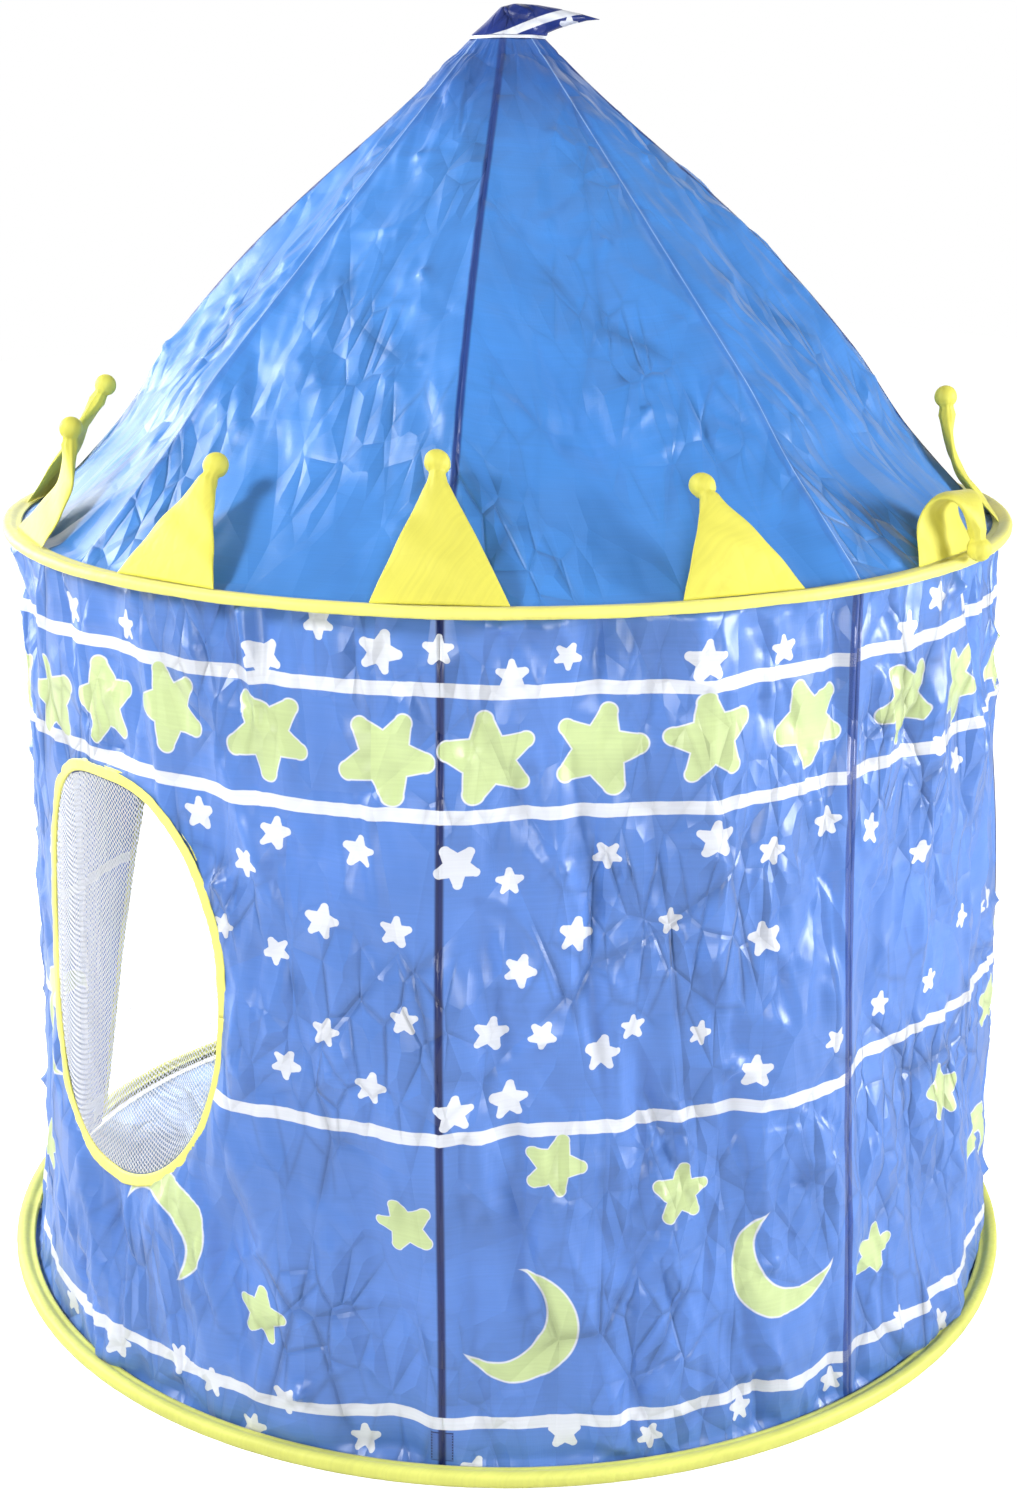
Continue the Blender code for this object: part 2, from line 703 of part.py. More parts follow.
def build_rods(workshop):
    """Wall rods from foot pocket to elbow, and roof rods from elbow to hub."""
    wall_end = WALL_ROD_LENGTH - ELBOW_TANGENT - GAP
    roof_start = ELBOW_TANGENT + GAP
    roof_end = ROOF_ROD_LENGTH - HUB_SOCKET_START - GAP
    for number, azimuth in enumerate(ROD_AZIMUTHS, start=1):
        stations = [0.0] + rod_stations(POCKET_HEIGHT, WALL_ROD_LENGTH - ELBOW_REACH, ROD_STATIONS)
        wall_points = [wall_rod_point(azimuth, run) for run in stations + [wall_end]]
        tube(workshop, f"wall_rod_{number}", wall_points, ROD_RADIUS, "rod_plastic", sides_level=2)
        stations = rod_stations(ELBOW_REACH, ROOF_ROD_LENGTH - HUB_SOCKET_REACH, ROD_STATIONS)
        roof_points = [roof_rod_point(azimuth, run) for run in [roof_start] + stations + [roof_end]]
        tube(workshop, f"roof_rod_{number}", roof_points, ROD_RADIUS, "rod_plastic", sides_level=2)


def build_sleeves(workshop):
    """Cloth sleeves sewn along the inside of wall and roof, one round each rod."""
    for number, azimuth in enumerate(ROD_AZIMUTHS, start=1):
        runs = rod_stations(POCKET_HEIGHT, WALL_ROD_LENGTH - ELBOW_REACH, ROD_STATIONS)
        runs[0] += SLEEVE_END_GAP
        runs[-1] -= SLEEVE_END_GAP
        points = [wall_rod_point(azimuth, run) for run in runs]
        sleeve = tube(
            workshop, f"wall_sleeve_{number}", points, SLEEVE_RADIUS, "sleeve_cloth", capped=False
        )
        solidify(sleeve, SLEEVE_CLOTH)
        runs = rod_stations(ELBOW_REACH, ROOF_ROD_LENGTH - HUB_SOCKET_REACH, ROD_STATIONS)
        runs[0] += SLEEVE_END_GAP
        runs[-1] -= SLEEVE_END_GAP
        points = [roof_rod_point(azimuth, run) for run in runs]
        sleeve = tube(
            workshop, f"roof_sleeve_{number}", points, SLEEVE_RADIUS, "sleeve_cloth", capped=False
        )
        solidify(sleeve, SLEEVE_CLOTH)


def aim(direction):
    """Rotation that turns +Z to a direction."""
    return Vector((0.0, 0.0, 1.0)).rotation_difference(direction).to_matrix().to_4x4()


def turned_solid(outline, sides, closed):
    """Turn an outline of (radius, height) points about +Z into a solid.

    An outline that isn't closed starts and ends on the axis.
    """
    shape = bmesh.new()
    corners = [shape.verts.new((radius, 0.0, height)) for radius, height in outline]
    edges = [shape.edges.new(pair) for pair in zip(corners, corners[1:])]
    if closed:
        edges.append(shape.edges.new((corners[-1], corners[0])))
    bmesh.ops.spin(
        shape,
        geom=corners + edges,
        cent=(0.0, 0.0, 0.0),
        axis=(0.0, 0.0, 1.0),
        angle=math.radians(360.0),
        steps=sides,
    )
    bmesh.ops.remove_doubles(shape, verts=shape.verts, dist=GAP / 10)
    bmesh.ops.dissolve_degenerate(shape, edges=shape.edges, dist=GAP / 10)
    return shape


def build_pockets(workshop):
    """Webbing cups at the wall's foot that the wall rods stand in."""
    outline = (
        (BORE_RADIUS, POCKET_HEIGHT),
        (BORE_RADIUS, -GAP),
        (0.0, -GAP),
        (0.0, -GAP - POCKET_FLOOR),
        (SLEEVE_RADIUS, -GAP - POCKET_FLOOR),
        (SLEEVE_RADIUS, POCKET_HEIGHT),
    )
    for number, azimuth in enumerate(ROD_AZIMUTHS, start=1):
        foot = wall_rod_point(azimuth, 0.0)
        direction = (wall_rod_point(azimuth, POCKET_HEIGHT) - foot).normalized()
        shape = turned_solid(outline, POCKET_SIDES, closed=True)
        stand = Matrix.Translation(foot) @ aim(direction)
        bmesh.ops.transform(shape, matrix=stand, verts=shape.verts)
        name = f"rod_pocket_{number}"
        workshop.add(name, mesh_from(name, shape), "sleeve_cloth")


def bore(workshop, name, start, end, radius):
    """Cylinder cutter between two points."""
    shape = bmesh.new()
    length = (end - start).length
    bmesh.ops.create_cone(
        shape, cap_ends=True, segments=BORE_SIDES, radius1=radius, radius2=radius, depth=length
    )
    matrix = Matrix.Translation((start + end) / 2) @ aim((end - start).normalized())
    bmesh.ops.transform(shape, matrix=matrix, verts=shape.verts)
    return workshop.add_cutter(name, mesh_from(name, shape))


def build_elbows(workshop):
    """Moulded elbows under the eave that join each wall rod to its roof rod."""
    for number, azimuth in enumerate(ROD_AZIMUTHS, start=1):
        corner = place(CORNER_RADIUS, azimuth, CORNER_HEIGHT)
        down = (wall_rod_point(azimuth, 0.0) - corner).normalized()
        up = (Vector((0.0, 0.0, HUB_MEETING_HEIGHT)) - corner).normalized()
        start = corner + down * ELBOW_TANGENT
        end = corner + up * ELBOW_TANGENT
        middle = (down + up).normalized()
        centre = corner + middle * (ELBOW_BEND_RADIUS / math.cos(ELBOW_TURN / 2))
        bend = []
        for step in range(ELBOW_BEND_STEPS + 1):
            share = step / ELBOW_BEND_STEPS
            spoke = (start - centre).normalized().slerp((end - centre).normalized(), share)
            bend.append(centre + spoke * ELBOW_BEND_RADIUS)
        points = [corner + down * ELBOW_REACH] + bend + [corner + up * ELBOW_REACH]
        name = f"elbow_{number}"
        body = tube(workshop, name, points, SOCKET_RADIUS, "moulded_plastic", sides_level=2)
        body = solid_from_curve(workshop, body, "moulded_plastic")
        for label, direction in (("wall", down), ("roof", up)):
            mouth = corner + direction * (ELBOW_REACH + SOCKET_CLEARANCE)
            bottom = corner + direction * ELBOW_TANGENT
            cut(body, bore(workshop, f"{name}_{label}_bore", bottom, mouth, BORE_RADIUS))


def build_hub(workshop):
    """Moulded hub under the apex with four angled sockets for the roof rods."""
    meeting = Vector((0.0, 0.0, HUB_MEETING_HEIGHT))
    slope = math.tan(ROOF_SLOPE)
    top = HUB_MEETING_HEIGHT + SOCKET_RADIUS / math.cos(ROOF_SLOPE) - GAP
    shoulder = top - HUB_RADIUS * slope
    outline = (
        (0.0, top),
        (HUB_RADIUS, shoulder),
        (HUB_RADIUS, shoulder - HUB_RIM),
        (HUB_WAIST_RADIUS, shoulder - HUB_RIM - HUB_DROP),
        (0.0, shoulder - HUB_RIM - HUB_DROP),
    )
    shape = turned_solid(outline, HUB_SIDES, closed=False)
    hub = workshop.add("apex_hub", mesh_from("apex_hub", shape), "moulded_plastic")
    directions = []
    for azimuth in ROD_AZIMUTHS:
        corner = place(CORNER_RADIUS, azimuth, CORNER_HEIGHT)
        directions.append((corner - meeting).normalized())
    for number, direction in enumerate(directions, start=1):
        start = meeting + direction * (HUB_RADIUS / 2)
        end = meeting + direction * HUB_SOCKET_REACH
        cut(hub, bore(workshop, f"hub_socket_{number}", start, end, SOCKET_RADIUS), "UNION")
    for number, direction in enumerate(directions, start=1):
        start = meeting + direction * HUB_SOCKET_START
        end = meeting + direction * (HUB_SOCKET_REACH + SOCKET_CLEARANCE)
        cut(hub, bore(workshop, f"hub_bore_{number}", start, end, BORE_RADIUS))


def door_edge(share, offset):
    """Azimuth and height on the doorway's arch, moved away from the opening by offset.

    share runs from -1 at one foot over the top at 0 to 1 at the other foot.
    """
    slope = 2.0 * DOOR_HEIGHT * share
    scale = offset / math.hypot(slope, DOOR_HALF_WIDTH)
    run = DOOR_HALF_WIDTH * share + slope * scale
    height = DOOR_HEIGHT * (1.0 - share * share) + DOOR_HALF_WIDTH * scale
    return math.degrees(run / wall_smooth_radius(height)), height


def window_edge(share, offset):
    """Azimuth and height on the window's oval, moved away from the opening by offset."""
    angle = 2.0 * math.pi * share
    across = math.cos(angle) / WINDOW_HALF_WIDTH
    along = math.sin(angle) / WINDOW_HALF_HEIGHT
    scale = offset / math.hypot(across, along)
    run = WINDOW_HALF_WIDTH * math.cos(angle) + across * scale
    height = WINDOW_HEIGHT + WINDOW_HALF_HEIGHT * math.sin(angle) + along * scale
    return WINDOW_AZIMUTH + math.degrees(run / wall_smooth_radius(height)), height


def prism_through_wall(workshop, name, outline, azimuth):
    """Cutter through the wall along one level direction, from (azimuth, height) points."""
    outward = out_from_axis(azimuth)
    across = round_axis(azimuth)
    start = WALL_BASE_RADIUS * CUTTER_INNER_SHARE
    depth = WALL_BASE_RADIUS * (CUTTER_OUTER_SHARE - CUTTER_INNER_SHARE)
    shape = bmesh.new()
    ring = []
    for point_azimuth, height in outline:
        on_wall = place(wall_smooth_radius(max(0.0, height)), point_azimuth, height)
        corner = across * on_wall.dot(across) + outward * start
        corner.z = height
        ring.append(shape.verts.new(corner))
    face = shape.faces.new(ring)
    grown = bmesh.ops.extrude_face_region(shape, geom=[face])
    moved = [item for item in grown["geom"] if isinstance(item, bmesh.types.BMVert)]
    bmesh.ops.translate(shape, verts=moved, vec=outward * depth)
    return workshop.add_cutter(name, mesh_from(name, shape))


def loft(rings, closed_path=False, capped=True):
    """Surface through rings of equally many points, capped at its ends or joined up."""
    shape = bmesh.new()
    loops = [[shape.verts.new(point) for point in ring] for ring in rings]
    pairs = list(zip(loops, loops[1:]))
    if closed_path:
        pairs.append((loops[-1], loops[0]))
    for lower, upper in pairs:
        for i, corner in enumerate(lower):
            j = (i + 1) % len(lower)
            shape.faces.new((corner, lower[j], upper[j], upper[i]))
    if capped and not closed_path:
        shape.faces.new(loops[0][::-1])
        shape.faces.new(loops[-1])
    return shape


def cloth_middle(azimuth, height):
    """Point in the middle of the wall cloth's thickness."""
    return place(wall_radius(azimuth, max(height, 0.0)) - CLOTH / 2, azimuth, height)


def edge_tape_ring(edge, share):
    """Cross-section of the tape that wraps a bound edge, as points round its C shape."""
    centre = cloth_middle(*edge(share, 0.0))
    beyond = cloth_middle(*edge(share, EDGE_WEB))
    side = (beyond - centre).normalized()
    along = out_from_axis(edge(share, 0.0)[0])
    normal = (along - side * along.dot(side)).normalized()
    inner = CLOTH / 2 + EDGE_MOUTH_CLEARANCE
    outer = inner + TAPE
    web = EDGE_WEB - EDGE_CLEARANCE
    lap = EDGE_WEB + EDGE_LAP
    section = (
        (0.0, outer),
        (lap, outer),
        (lap, inner),
        (web, inner),
        (web, -inner),
        (lap, -inner),
        (lap, -outer),
        (0.0, -outer),
    )
    return [centre + side * across + normal * out for across, out in section]


def build_doorway(workshop, panel):
    """Arch cut through the front panel, with its bound edge."""
    shares = [lerp(1.0, -1.0, i / DOOR_STATIONS) for i in range(DOOR_STATIONS + 1)]
    outline = [door_edge(share, EDGE_WEB) for share in shares]
    outline.append((outline[-1][0], -CUTTER_DROP))
    outline.append((outline[0][0], -CUTTER_DROP))
    cut(panel, prism_through_wall(workshop, "doorway_cutter", outline, 0.0))
    foot_height = BASE_BINDING_HEIGHT + EDGE_WEB
    foot_share = math.sqrt(1.0 - foot_height / DOOR_HEIGHT)
    shares = [lerp(foot_share, -foot_share, i / DOOR_STATIONS) for i in range(DOOR_STATIONS + 1)]
    rings = [edge_tape_ring(door_edge, share) for share in shares]
    workshop.add("door_binding", mesh_from("door_binding", loft(rings)), "yellow_cloth")


def build_window(workshop, panel):
    """Oval cut through the window panel, its bound edge and the net that fills it."""
    shares = [i / WINDOW_STATIONS for i in range(WINDOW_STATIONS)]
    outline = [window_edge(share, EDGE_WEB) for share in shares]
    cut(panel, prism_through_wall(workshop, "window_cutter", outline, WINDOW_AZIMUTH))
    rings = [edge_tape_ring(window_edge, share) for share in shares]
    shape = loft(rings, closed_path=True)
    workshop.add("window_binding", mesh_from("window_binding", shape), "yellow_cloth")
    build_net(workshop)


def build_net(workshop):
    """Window net: a lattice of strands, clipped to the oval inside the bound edge."""
    margin = NET_STRAND / 2 + 2.0 * GAP
    half_width = WINDOW_HALF_WIDTH - margin
    half_height = WINDOW_HALF_HEIGHT - margin
    columns = math.ceil(2.0 * half_width / NET_PITCH)
    rows = math.ceil(2.0 * half_height / NET_PITCH)
    shape = bmesh.new()
    bmesh.ops.create_grid(shape, x_segments=columns, y_segments=rows, size=1.0)
    width = columns * NET_PITCH / 2
    height = rows * NET_PITCH / 2
    bmesh.ops.scale(shape, vec=(width, height, 1.0), verts=shape.verts)
    for i in range(WINDOW_STATIONS):
        turns = [2.0 * math.pi * (i + side) / WINDOW_STATIONS for side in (0, 1)]
        start, end = (
            Vector((half_width * math.cos(turn), half_height * math.sin(turn), 0.0)) for turn in turns
        )
        outward = Vector((end.y - start.y, start.x - end.x, 0.0))
        bmesh.ops.bisect_plane(
            shape,
            geom=shape.verts[:] + shape.edges[:] + shape.faces[:],
            plane_co=start,
            plane_no=outward,
            clear_outer=True,
        )
    bmesh.ops.remove_doubles(shape, verts=shape.verts, dist=NET_MIN_STRAND_RUN)
    for vertex in shape.verts:
        run, rise = vertex.co.x, vertex.co.y
        height = WINDOW_HEIGHT + rise
        azimuth = WINDOW_AZIMUTH + math.degrees(run / wall_smooth_radius(height))
        vertex.co = place(wall_smooth_radius(height) - CLOTH / 2, azimuth, height)
    bmesh.ops.recalc_face_normals(shape, faces=shape.faces)
    mesh = bpy.data.meshes.new("window_net")
    shape.to_mesh(mesh)
    shape.free()
    net = workshop.add("window_net", mesh, "white_net")
    strands = net.modifiers.new("strands", "WIREFRAME")
    strands.thickness = NET_STRAND
    strands.use_boundary = True
    strands.use_replace = True
    strands.use_even_offset = False
    strands.use_relative_offset = False


def ellipse_ring(centre, across, up, half_width, half_height, sides):
    """Elliptical cross-section about a centre, in the plane of two unit vectors."""
    ring = []
    for side in range(sides):
        angle = 2.0 * math.pi * side / sides
        step = across * (half_width * math.cos(angle)) + up * (half_height * math.sin(angle))
        ring.append(centre + step)
    return ring


def crown_seam(azimuth):
    """Point on the stitch line that a crown point folds about, on top of the eave binding."""
    radius = (EAVE_MOUTH_RADIUS + MOUTH_FLAT / 2) * FACET_MIDDLE_SHARE
    height = EAVE_HEIGHT + MOUTH_HALF_HEIGHT + TAPE + GAP + CROWN_EDGE_THICKNESS / 2
    return place(radius, azimuth, height)


def crown_spine(rise, curl, lean, length):
    """Middle line of a crown point from its seam: points and headings in its own frame.

    In that frame +X runs along the seam, -Y points out and +Z up.
    """
    points = [Vector((0.0, 0.0, 0.0))]
    headings = []
    step = length / CROWN_SPINE_STEPS
    sway = math.radians(lean)
    for i in range(CROWN_SPINE_STEPS + 1):
        share = i / CROWN_SPINE_STEPS
        angle = math.radians(rise - curl * ease((share - CURL_START_SHARE) / CURL_RUN_SHARE))
        heading = Vector((
            math.sin(sway),
            math.cos(sway) * math.cos(angle),
            math.cos(sway) * math.sin(angle),
        ))
        headings.append(heading)
        points.append(points[-1] + heading * step)
    return points[:-1], headings


def crown_rings(rise, curl, lean, length):
    """Cross-sections of a crown point: flat triangle, gathered neck and ball."""
    points, headings = crown_spine(rise, curl, lean, length)
    seam = Vector((1.0, 0.0, 0.0))
    extra = math.ceil(abs(curl) / CROWN_RING_CURL) if abs(curl) > 2 * CROWN_RING_CURL else 0
    last_share = CROWN_BODY_SHARES[-1]
    body_shares = CROWN_BODY_SHARES
    if extra:
        count = len(CROWN_BODY_SHARES) + extra
        body_shares = [last_share * i / (count - 1) for i in range(count)]
    half_edge = CROWN_EDGE_THICKNESS / 2
    back_share, thin_share = CROWN_ROLL_SHARES
    root_normal = seam.cross(headings[0]).normalized()
    root = -headings[0] * (half_edge * back_share)
    root_width = CROWN_BASE_WIDTH / 2 - half_edge
    root_thickness = half_edge * thin_share
    rings = [ellipse_ring(root, seam, root_normal, root_width, root_thickness, CROWN_SIDES)]
    for share in body_shares:
        index = round(share * CROWN_SPINE_STEPS)
        normal = seam.cross(headings[index]).normalized()
        narrowing = share / last_share
        half_width = lerp(CROWN_BASE_WIDTH / 2, CROWN_NECK_RADIUS, narrowing)
        swell = math.sin(math.pi * min(1.0, narrowing)) ** 0.5
        half_thickness = lerp(half_edge, CROWN_NECK_RADIUS, narrowing ** 3)
        half_thickness = max(half_thickness, CROWN_BODY_THICKNESS / 2 * swell)
        rings.append(
            ellipse_ring(points[index], seam, normal, half_width, half_thickness, CROWN_SIDES)
        )
    tip = points[-1]
    heading = headings[-1]
    normal = seam.cross(heading).normalized()
    across = heading.cross(normal).normalized()
    for share in CROWN_BALL_SHARES:
        radius = CROWN_BALL_RADIUS * math.sqrt(1.0 - share * share)
        centre = tip + heading * (CROWN_BALL_RADIUS * share)
        rings.append(ellipse_ring(centre, across, normal, radius, radius, CROWN_SIDES))
    return rings


def build_crown_points(workshop):
    """Twelve stuffed points round the eave, each with its origin on its own seam."""
    for number, (azimuth, rise, curl, lean, length_share) in enumerate(CROWN_POINTS, start=1):
        rings = crown_rings(rise, curl, lean, CROWN_LENGTH * length_share)
        name = f"crown_point_{number}"
        point = workshop.add(name, mesh_from(name, loft(rings)), "yellow_cloth")
        point.location = crown_seam(azimuth)
        point.rotation_euler = (0.0, 0.0, math.radians(azimuth))


def build_apex_cap(workshop):
    """Crumpled cloth cap gathered round the apex, its peak flopped over to one side."""
    aside = out_from_axis(CAP_AZIMUTH)
    across = round_axis(CAP_AZIMUTH)
    neck_share = 1.0 - CAP_NECK_RADIUS / ROOF_FOOT_RADIUS
    seat = roof_cone_point(CAP_AZIMUTH, neck_share, 0.0).z + CAP_SEAT_CLEARANCE
    # Rings from the gathered neck to the tip of the peak: radius, rise and shift as shares of
    # the cap's radius, height and tail, and the tilt of the ring in degrees
    ring_shares = (
        (CAP_NECK_RADIUS / CAP_RADIUS, 0.0, 0.0, 0.0),
        (0.93, 0.10, 0.0, 0.0),
        (1.00, 0.26, 0.02, 0.0),
        (0.84, 0.62, 0.06, 12.0),
        (0.56, 0.90, 0.18, 38.0),
        (0.36, 0.90, 0.40, 72.0),
        (0.25, 0.74, 0.68, 88.0),
        (0.12, 0.60, 0.98, 92.0),
    )
    rings = []
    for radius_share, rise_share, shift_share, tilt in ring_shares:
        centre = aside * (CAP_TAIL * shift_share)
        centre.z = seat + CAP_HEIGHT * rise_share
        angle = math.radians(tilt)
        reach = aside * math.cos(angle) - Vector((0.0, 0.0, math.sin(angle)))
        radius = CAP_RADIUS * radius_share
        rings.append(ellipse_ring(centre, reach, across, radius, radius, CAP_SIDES))
    shape = loft(rings, capped=False)
    rim = [edge for edge in shape.edges if edge.is_boundary]
    tip_centre = rings[-1][0]
    tip_edges = [
        edge for edge in rim
        if all((vertex.co - tip_centre).length < CAP_NECK_RADIUS for vertex in edge.verts)
    ]
    bmesh.ops.contextual_create(shape, geom=tip_edges)
    cap = workshop.add("apex_cap", mesh_from("apex_cap", shape, CAP_CREASE), "wall_cloth")
    solidify(cap, CLOTH)


def main():
    """Build the whole tent."""
    for part in list(bpy.data.objects):
        bpy.data.objects.remove(part, do_unlink=True)
    workshop = Workshop()
    build_floor(workshop)
    build_bindings(workshop)
    build_hoops(workshop)
    build_rods(workshop)
    build_sleeves(workshop)
    build_pockets(workshop)
    build_elbows(workshop)
    build_hub(workshop)
    for index in range(ROOF_GORES):
        build_roof_gore(workshop, index)
    panels = {name: build_wall_panel(workshop, name, start, end) for name, start, end in WALL_PANELS}
    build_doorway(workshop, panels["wall_front"])
    build_window(workshop, panels["wall_window"])
    build_crown_points(workshop)
    build_apex_cap(workshop)


main()
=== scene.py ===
"""Looks of a round castle play tent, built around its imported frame.

The tent stands at the origin on z = 0 with +Z up. Azimuth is counted in degrees from -Y, where the
doorway is, towards +X. Lengths are in metres.
"""

import logging
import math
from collections.abc import Callable, Iterable, Iterator, Sequence
from contextlib import contextmanager
from dataclasses import dataclass, field
from enum import Enum

import bmesh
import bpy
import numpy as np
from mathutils import Matrix, Vector


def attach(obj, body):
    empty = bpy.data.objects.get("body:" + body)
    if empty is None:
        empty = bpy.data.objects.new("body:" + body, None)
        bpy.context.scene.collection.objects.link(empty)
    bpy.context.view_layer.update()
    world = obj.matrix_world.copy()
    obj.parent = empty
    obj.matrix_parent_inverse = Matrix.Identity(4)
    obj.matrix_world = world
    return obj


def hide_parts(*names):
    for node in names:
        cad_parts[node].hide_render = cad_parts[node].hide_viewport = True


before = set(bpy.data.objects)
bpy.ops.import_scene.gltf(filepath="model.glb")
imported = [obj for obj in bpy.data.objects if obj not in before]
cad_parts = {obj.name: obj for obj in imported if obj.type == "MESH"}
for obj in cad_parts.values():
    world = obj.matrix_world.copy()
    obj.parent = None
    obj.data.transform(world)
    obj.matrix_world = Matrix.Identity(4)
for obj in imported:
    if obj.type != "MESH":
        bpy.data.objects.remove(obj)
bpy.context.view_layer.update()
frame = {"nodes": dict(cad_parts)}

log = logging.getLogger("play_tent")

Array = np.ndarray
Material = bpy.types.Material
Mesh = bpy.types.Mesh
Piece = bpy.types.Object
Surface = Callable[[Array, Array], Array]
Triple = tuple[float, float, float]
Trio = tuple[Array, Array, Array]
TENT = "tent"


# Numbers and places

def ease(share: Array) -> Array:
    """Smooth step from 0 to 1, level at both ends."""
    share = np.clip(share, 0.0, 1.0)
    return share * share * (3.0 - 2.0 * share)


def place(radius: Array, azimuth: Array, height: Array) -> Array:
    """Points at radii, azimuths in degrees and heights, one per row."""
    angle = np.radians(azimuth)
    return np.stack(np.broadcast_arrays(radius * np.sin(angle), -radius * np.cos(angle), height), -1)


def wave(position: Array, seed: int, waves: Sequence[float]) -> Array:
    """Sum of sine waves with seeded phases, between about -1 and 1.

    Args:
        position: Places along one line.
        seed: Seed for the phases.
        waves: Waves per unit of position, from the broadest to the finest.

    Returns:
        One value for each place.
    """
    draw = np.random.default_rng(seed)
    total = np.zeros_like(position, dtype=float)
    for index, count in enumerate(waves):
        total += np.sin(2.0 * math.pi * (count * position + draw.random())) / (1.0 + index)
    return total / sum(1.0 / (1.0 + index) for index in range(len(waves)))


@dataclass(frozen=True)
class TentForm:
    """Shape of the whole tent, the same as the frame's, worked out from its driving sizes."""

    eave_height: float = 0.8158
    apex_height: float = 1.3150
    wall_top_radius: float = 0.503
    wall_base_radius: float = 0.540
    cloth: float = 0.0010
    gap: float = 0.0003
    rod_depth: float = 0.0072
    rod_foot_height: float = 0.0195
    pocket_height: float = 0.034
    socket_depth: float = 0.026
    elbow_bend_radius: float = 0.022
    hub_socket_reach: float = 0.050
    wall_rod_bow: float = 0.018
    roof_rod_bow: float = 0.018
    ridge_width: float = 0.062
    fold_depth: float = 0.0090
    fold_calm_width: float = 0.060
    opening_calm_width: float = 0.055
    flat_share: float = 0.60
    flat_start_share: float = 0.25
    rod_spacing: float = 90.0
    gore_turn: float = 45.0
    wall_folds: tuple[tuple[float, ...], ...] = ((8.0, 2.2, 0.6, 0.6), (14.0, -3.1, 1.9, 0.4))
    door_half_width: float = 0.300
    door_height: float = 0.740
    window_azimuth: float = 94.2
    window_height: float = 0.4175
    window_half_width: float = 0.142
    window_half_height: float = 0.197
    window_upper_powers: tuple[float, float] = (3.3, 2.2)
    window_lower_powers: tuple[float, float] = (2.4, 2.1)
    roof_fullness: float = 0.0075

    @property
    def roof_foot_radius(self) -> float:
        """Radius where the roof starts at the eave seam."""
        return self.wall_top_radius + self.gap

    @property
    def roof_foot_height(self) -> float:
        """Height where the roof starts at the eave seam."""
        return self.eave_height + self.gap / 2 + self.cloth

    @property
    def slope(self) -> float:
        """Slope of the roof's cone in radians."""
        return math.atan2(self.apex_height - self.roof_foot_height, self.roof_foot_radius)

    @property
    def slant(self) -> float:
        """Length of the roof's cone from eave to apex."""
        return math.hypot(self.apex_height - self.roof_foot_height, self.roof_foot_radius)

    @property
    def rod_axis_depth(self) -> float:
        """Depth of a rod's axis below the cloth's outer face."""
        return self.cloth + self.rod_depth

    @property
    def corner_radius(self) -> float:
        """Radius of the corner where a wall rod's and a roof rod's axes cross."""
        return self.wall_top_radius - self.rod_axis_depth

    @property
    def corner_run(self) -> float:
        """Distance along the slant from the eave to that corner."""
        depth = self.rod_axis_depth * math.sin(self.slope)
        return (self.roof_foot_radius - depth - self.corner_radius) / math.cos(self.slope)

    @property
    def corner_height(self) -> float:
        """Height of that corner."""
        drop = self.rod_axis_depth * math.cos(self.slope)
        return self.roof_foot_height - drop + self.corner_run * math.sin(self.slope)

    @property
    def roof_rod_length(self) -> float:
        """Length of a roof rod's axis from the corner to the tent's axis."""
        return self.corner_radius / math.cos(self.slope)

    @property
    def rod_foot_radius(self) -> float:
        """Radius of a wall rod's foot."""
        return self.smooth_radius(self.rod_foot_height) - self.rod_axis_depth

    @property
    def wall_rod_length(self) -> float:
        """Length of a wall rod's axis from its foot to the corner."""
        rise = self.corner_height - self.rod_foot_height
        return math.hypot(rise, self.rod_foot_radius - self.corner_radius)

    @property
    def elbow_reach(self) -> float:
        """Distance from the corner to an elbow's mouth."""
        rise = self.corner_height - self.rod_foot_height
        turn = math.pi / 2 - self.slope - math.atan2(self.rod_foot_radius - self.corner_radius, rise)
        return self.elbow_bend_radius * math.tan(turn / 2) + self.socket_depth

    def smooth_radius(self, height: Array) -> Array:
        """Radius of the wall's outer face between the rods."""
        share = 1.0 - height / self.eave_height
        return self.wall_top_radius + (self.wall_base_radius - self.wall_top_radius) * share**2

    @staticmethod
    def bow(run: Array, start: float, end: float, depth: float) -> Array:
        """Sideways bow of a rod, nothing in its sockets and deepest half way."""
        share = np.clip((run - start) / (end - start), 0.0, 1.0)
        return depth * np.sin(math.pi * share) ** 2

    def rod_radius(self, height: Array) -> Array:
        """Radius of a wall rod's axis at a height."""
        rise = self.corner_height - self.rod_foot_height
        share = np.clip((height - self.rod_foot_height) / rise, 0.0, 1.0)
        straight = self.rod_foot_radius + (self.corner_radius - self.rod_foot_radius) * share
        run = share * self.wall_rod_length
        end = self.wall_rod_length - self.elbow_reach
        return straight + self.bow(run, self.pocket_height, end, self.wall_rod_bow)

    def rod_turn(self, azimuth: Array) -> Array:
        """Degrees from an azimuth to the nearest rod."""
        return np.abs(np.mod(azimuth, self.rod_spacing) - self.rod_spacing / 2)

    def rod_run(self, azimuth: Array, radius: Array) -> Array:
        """Distance round the tent to the nearest rod."""
        return np.radians(self.rod_turn(azimuth)) * radius

    @staticmethod
    def turn_from(azimuth: Array, other: float) -> Array:
        """Signed degrees from another azimuth."""
        return np.mod(azimuth - other + 180.0, 360.0) - 180.0

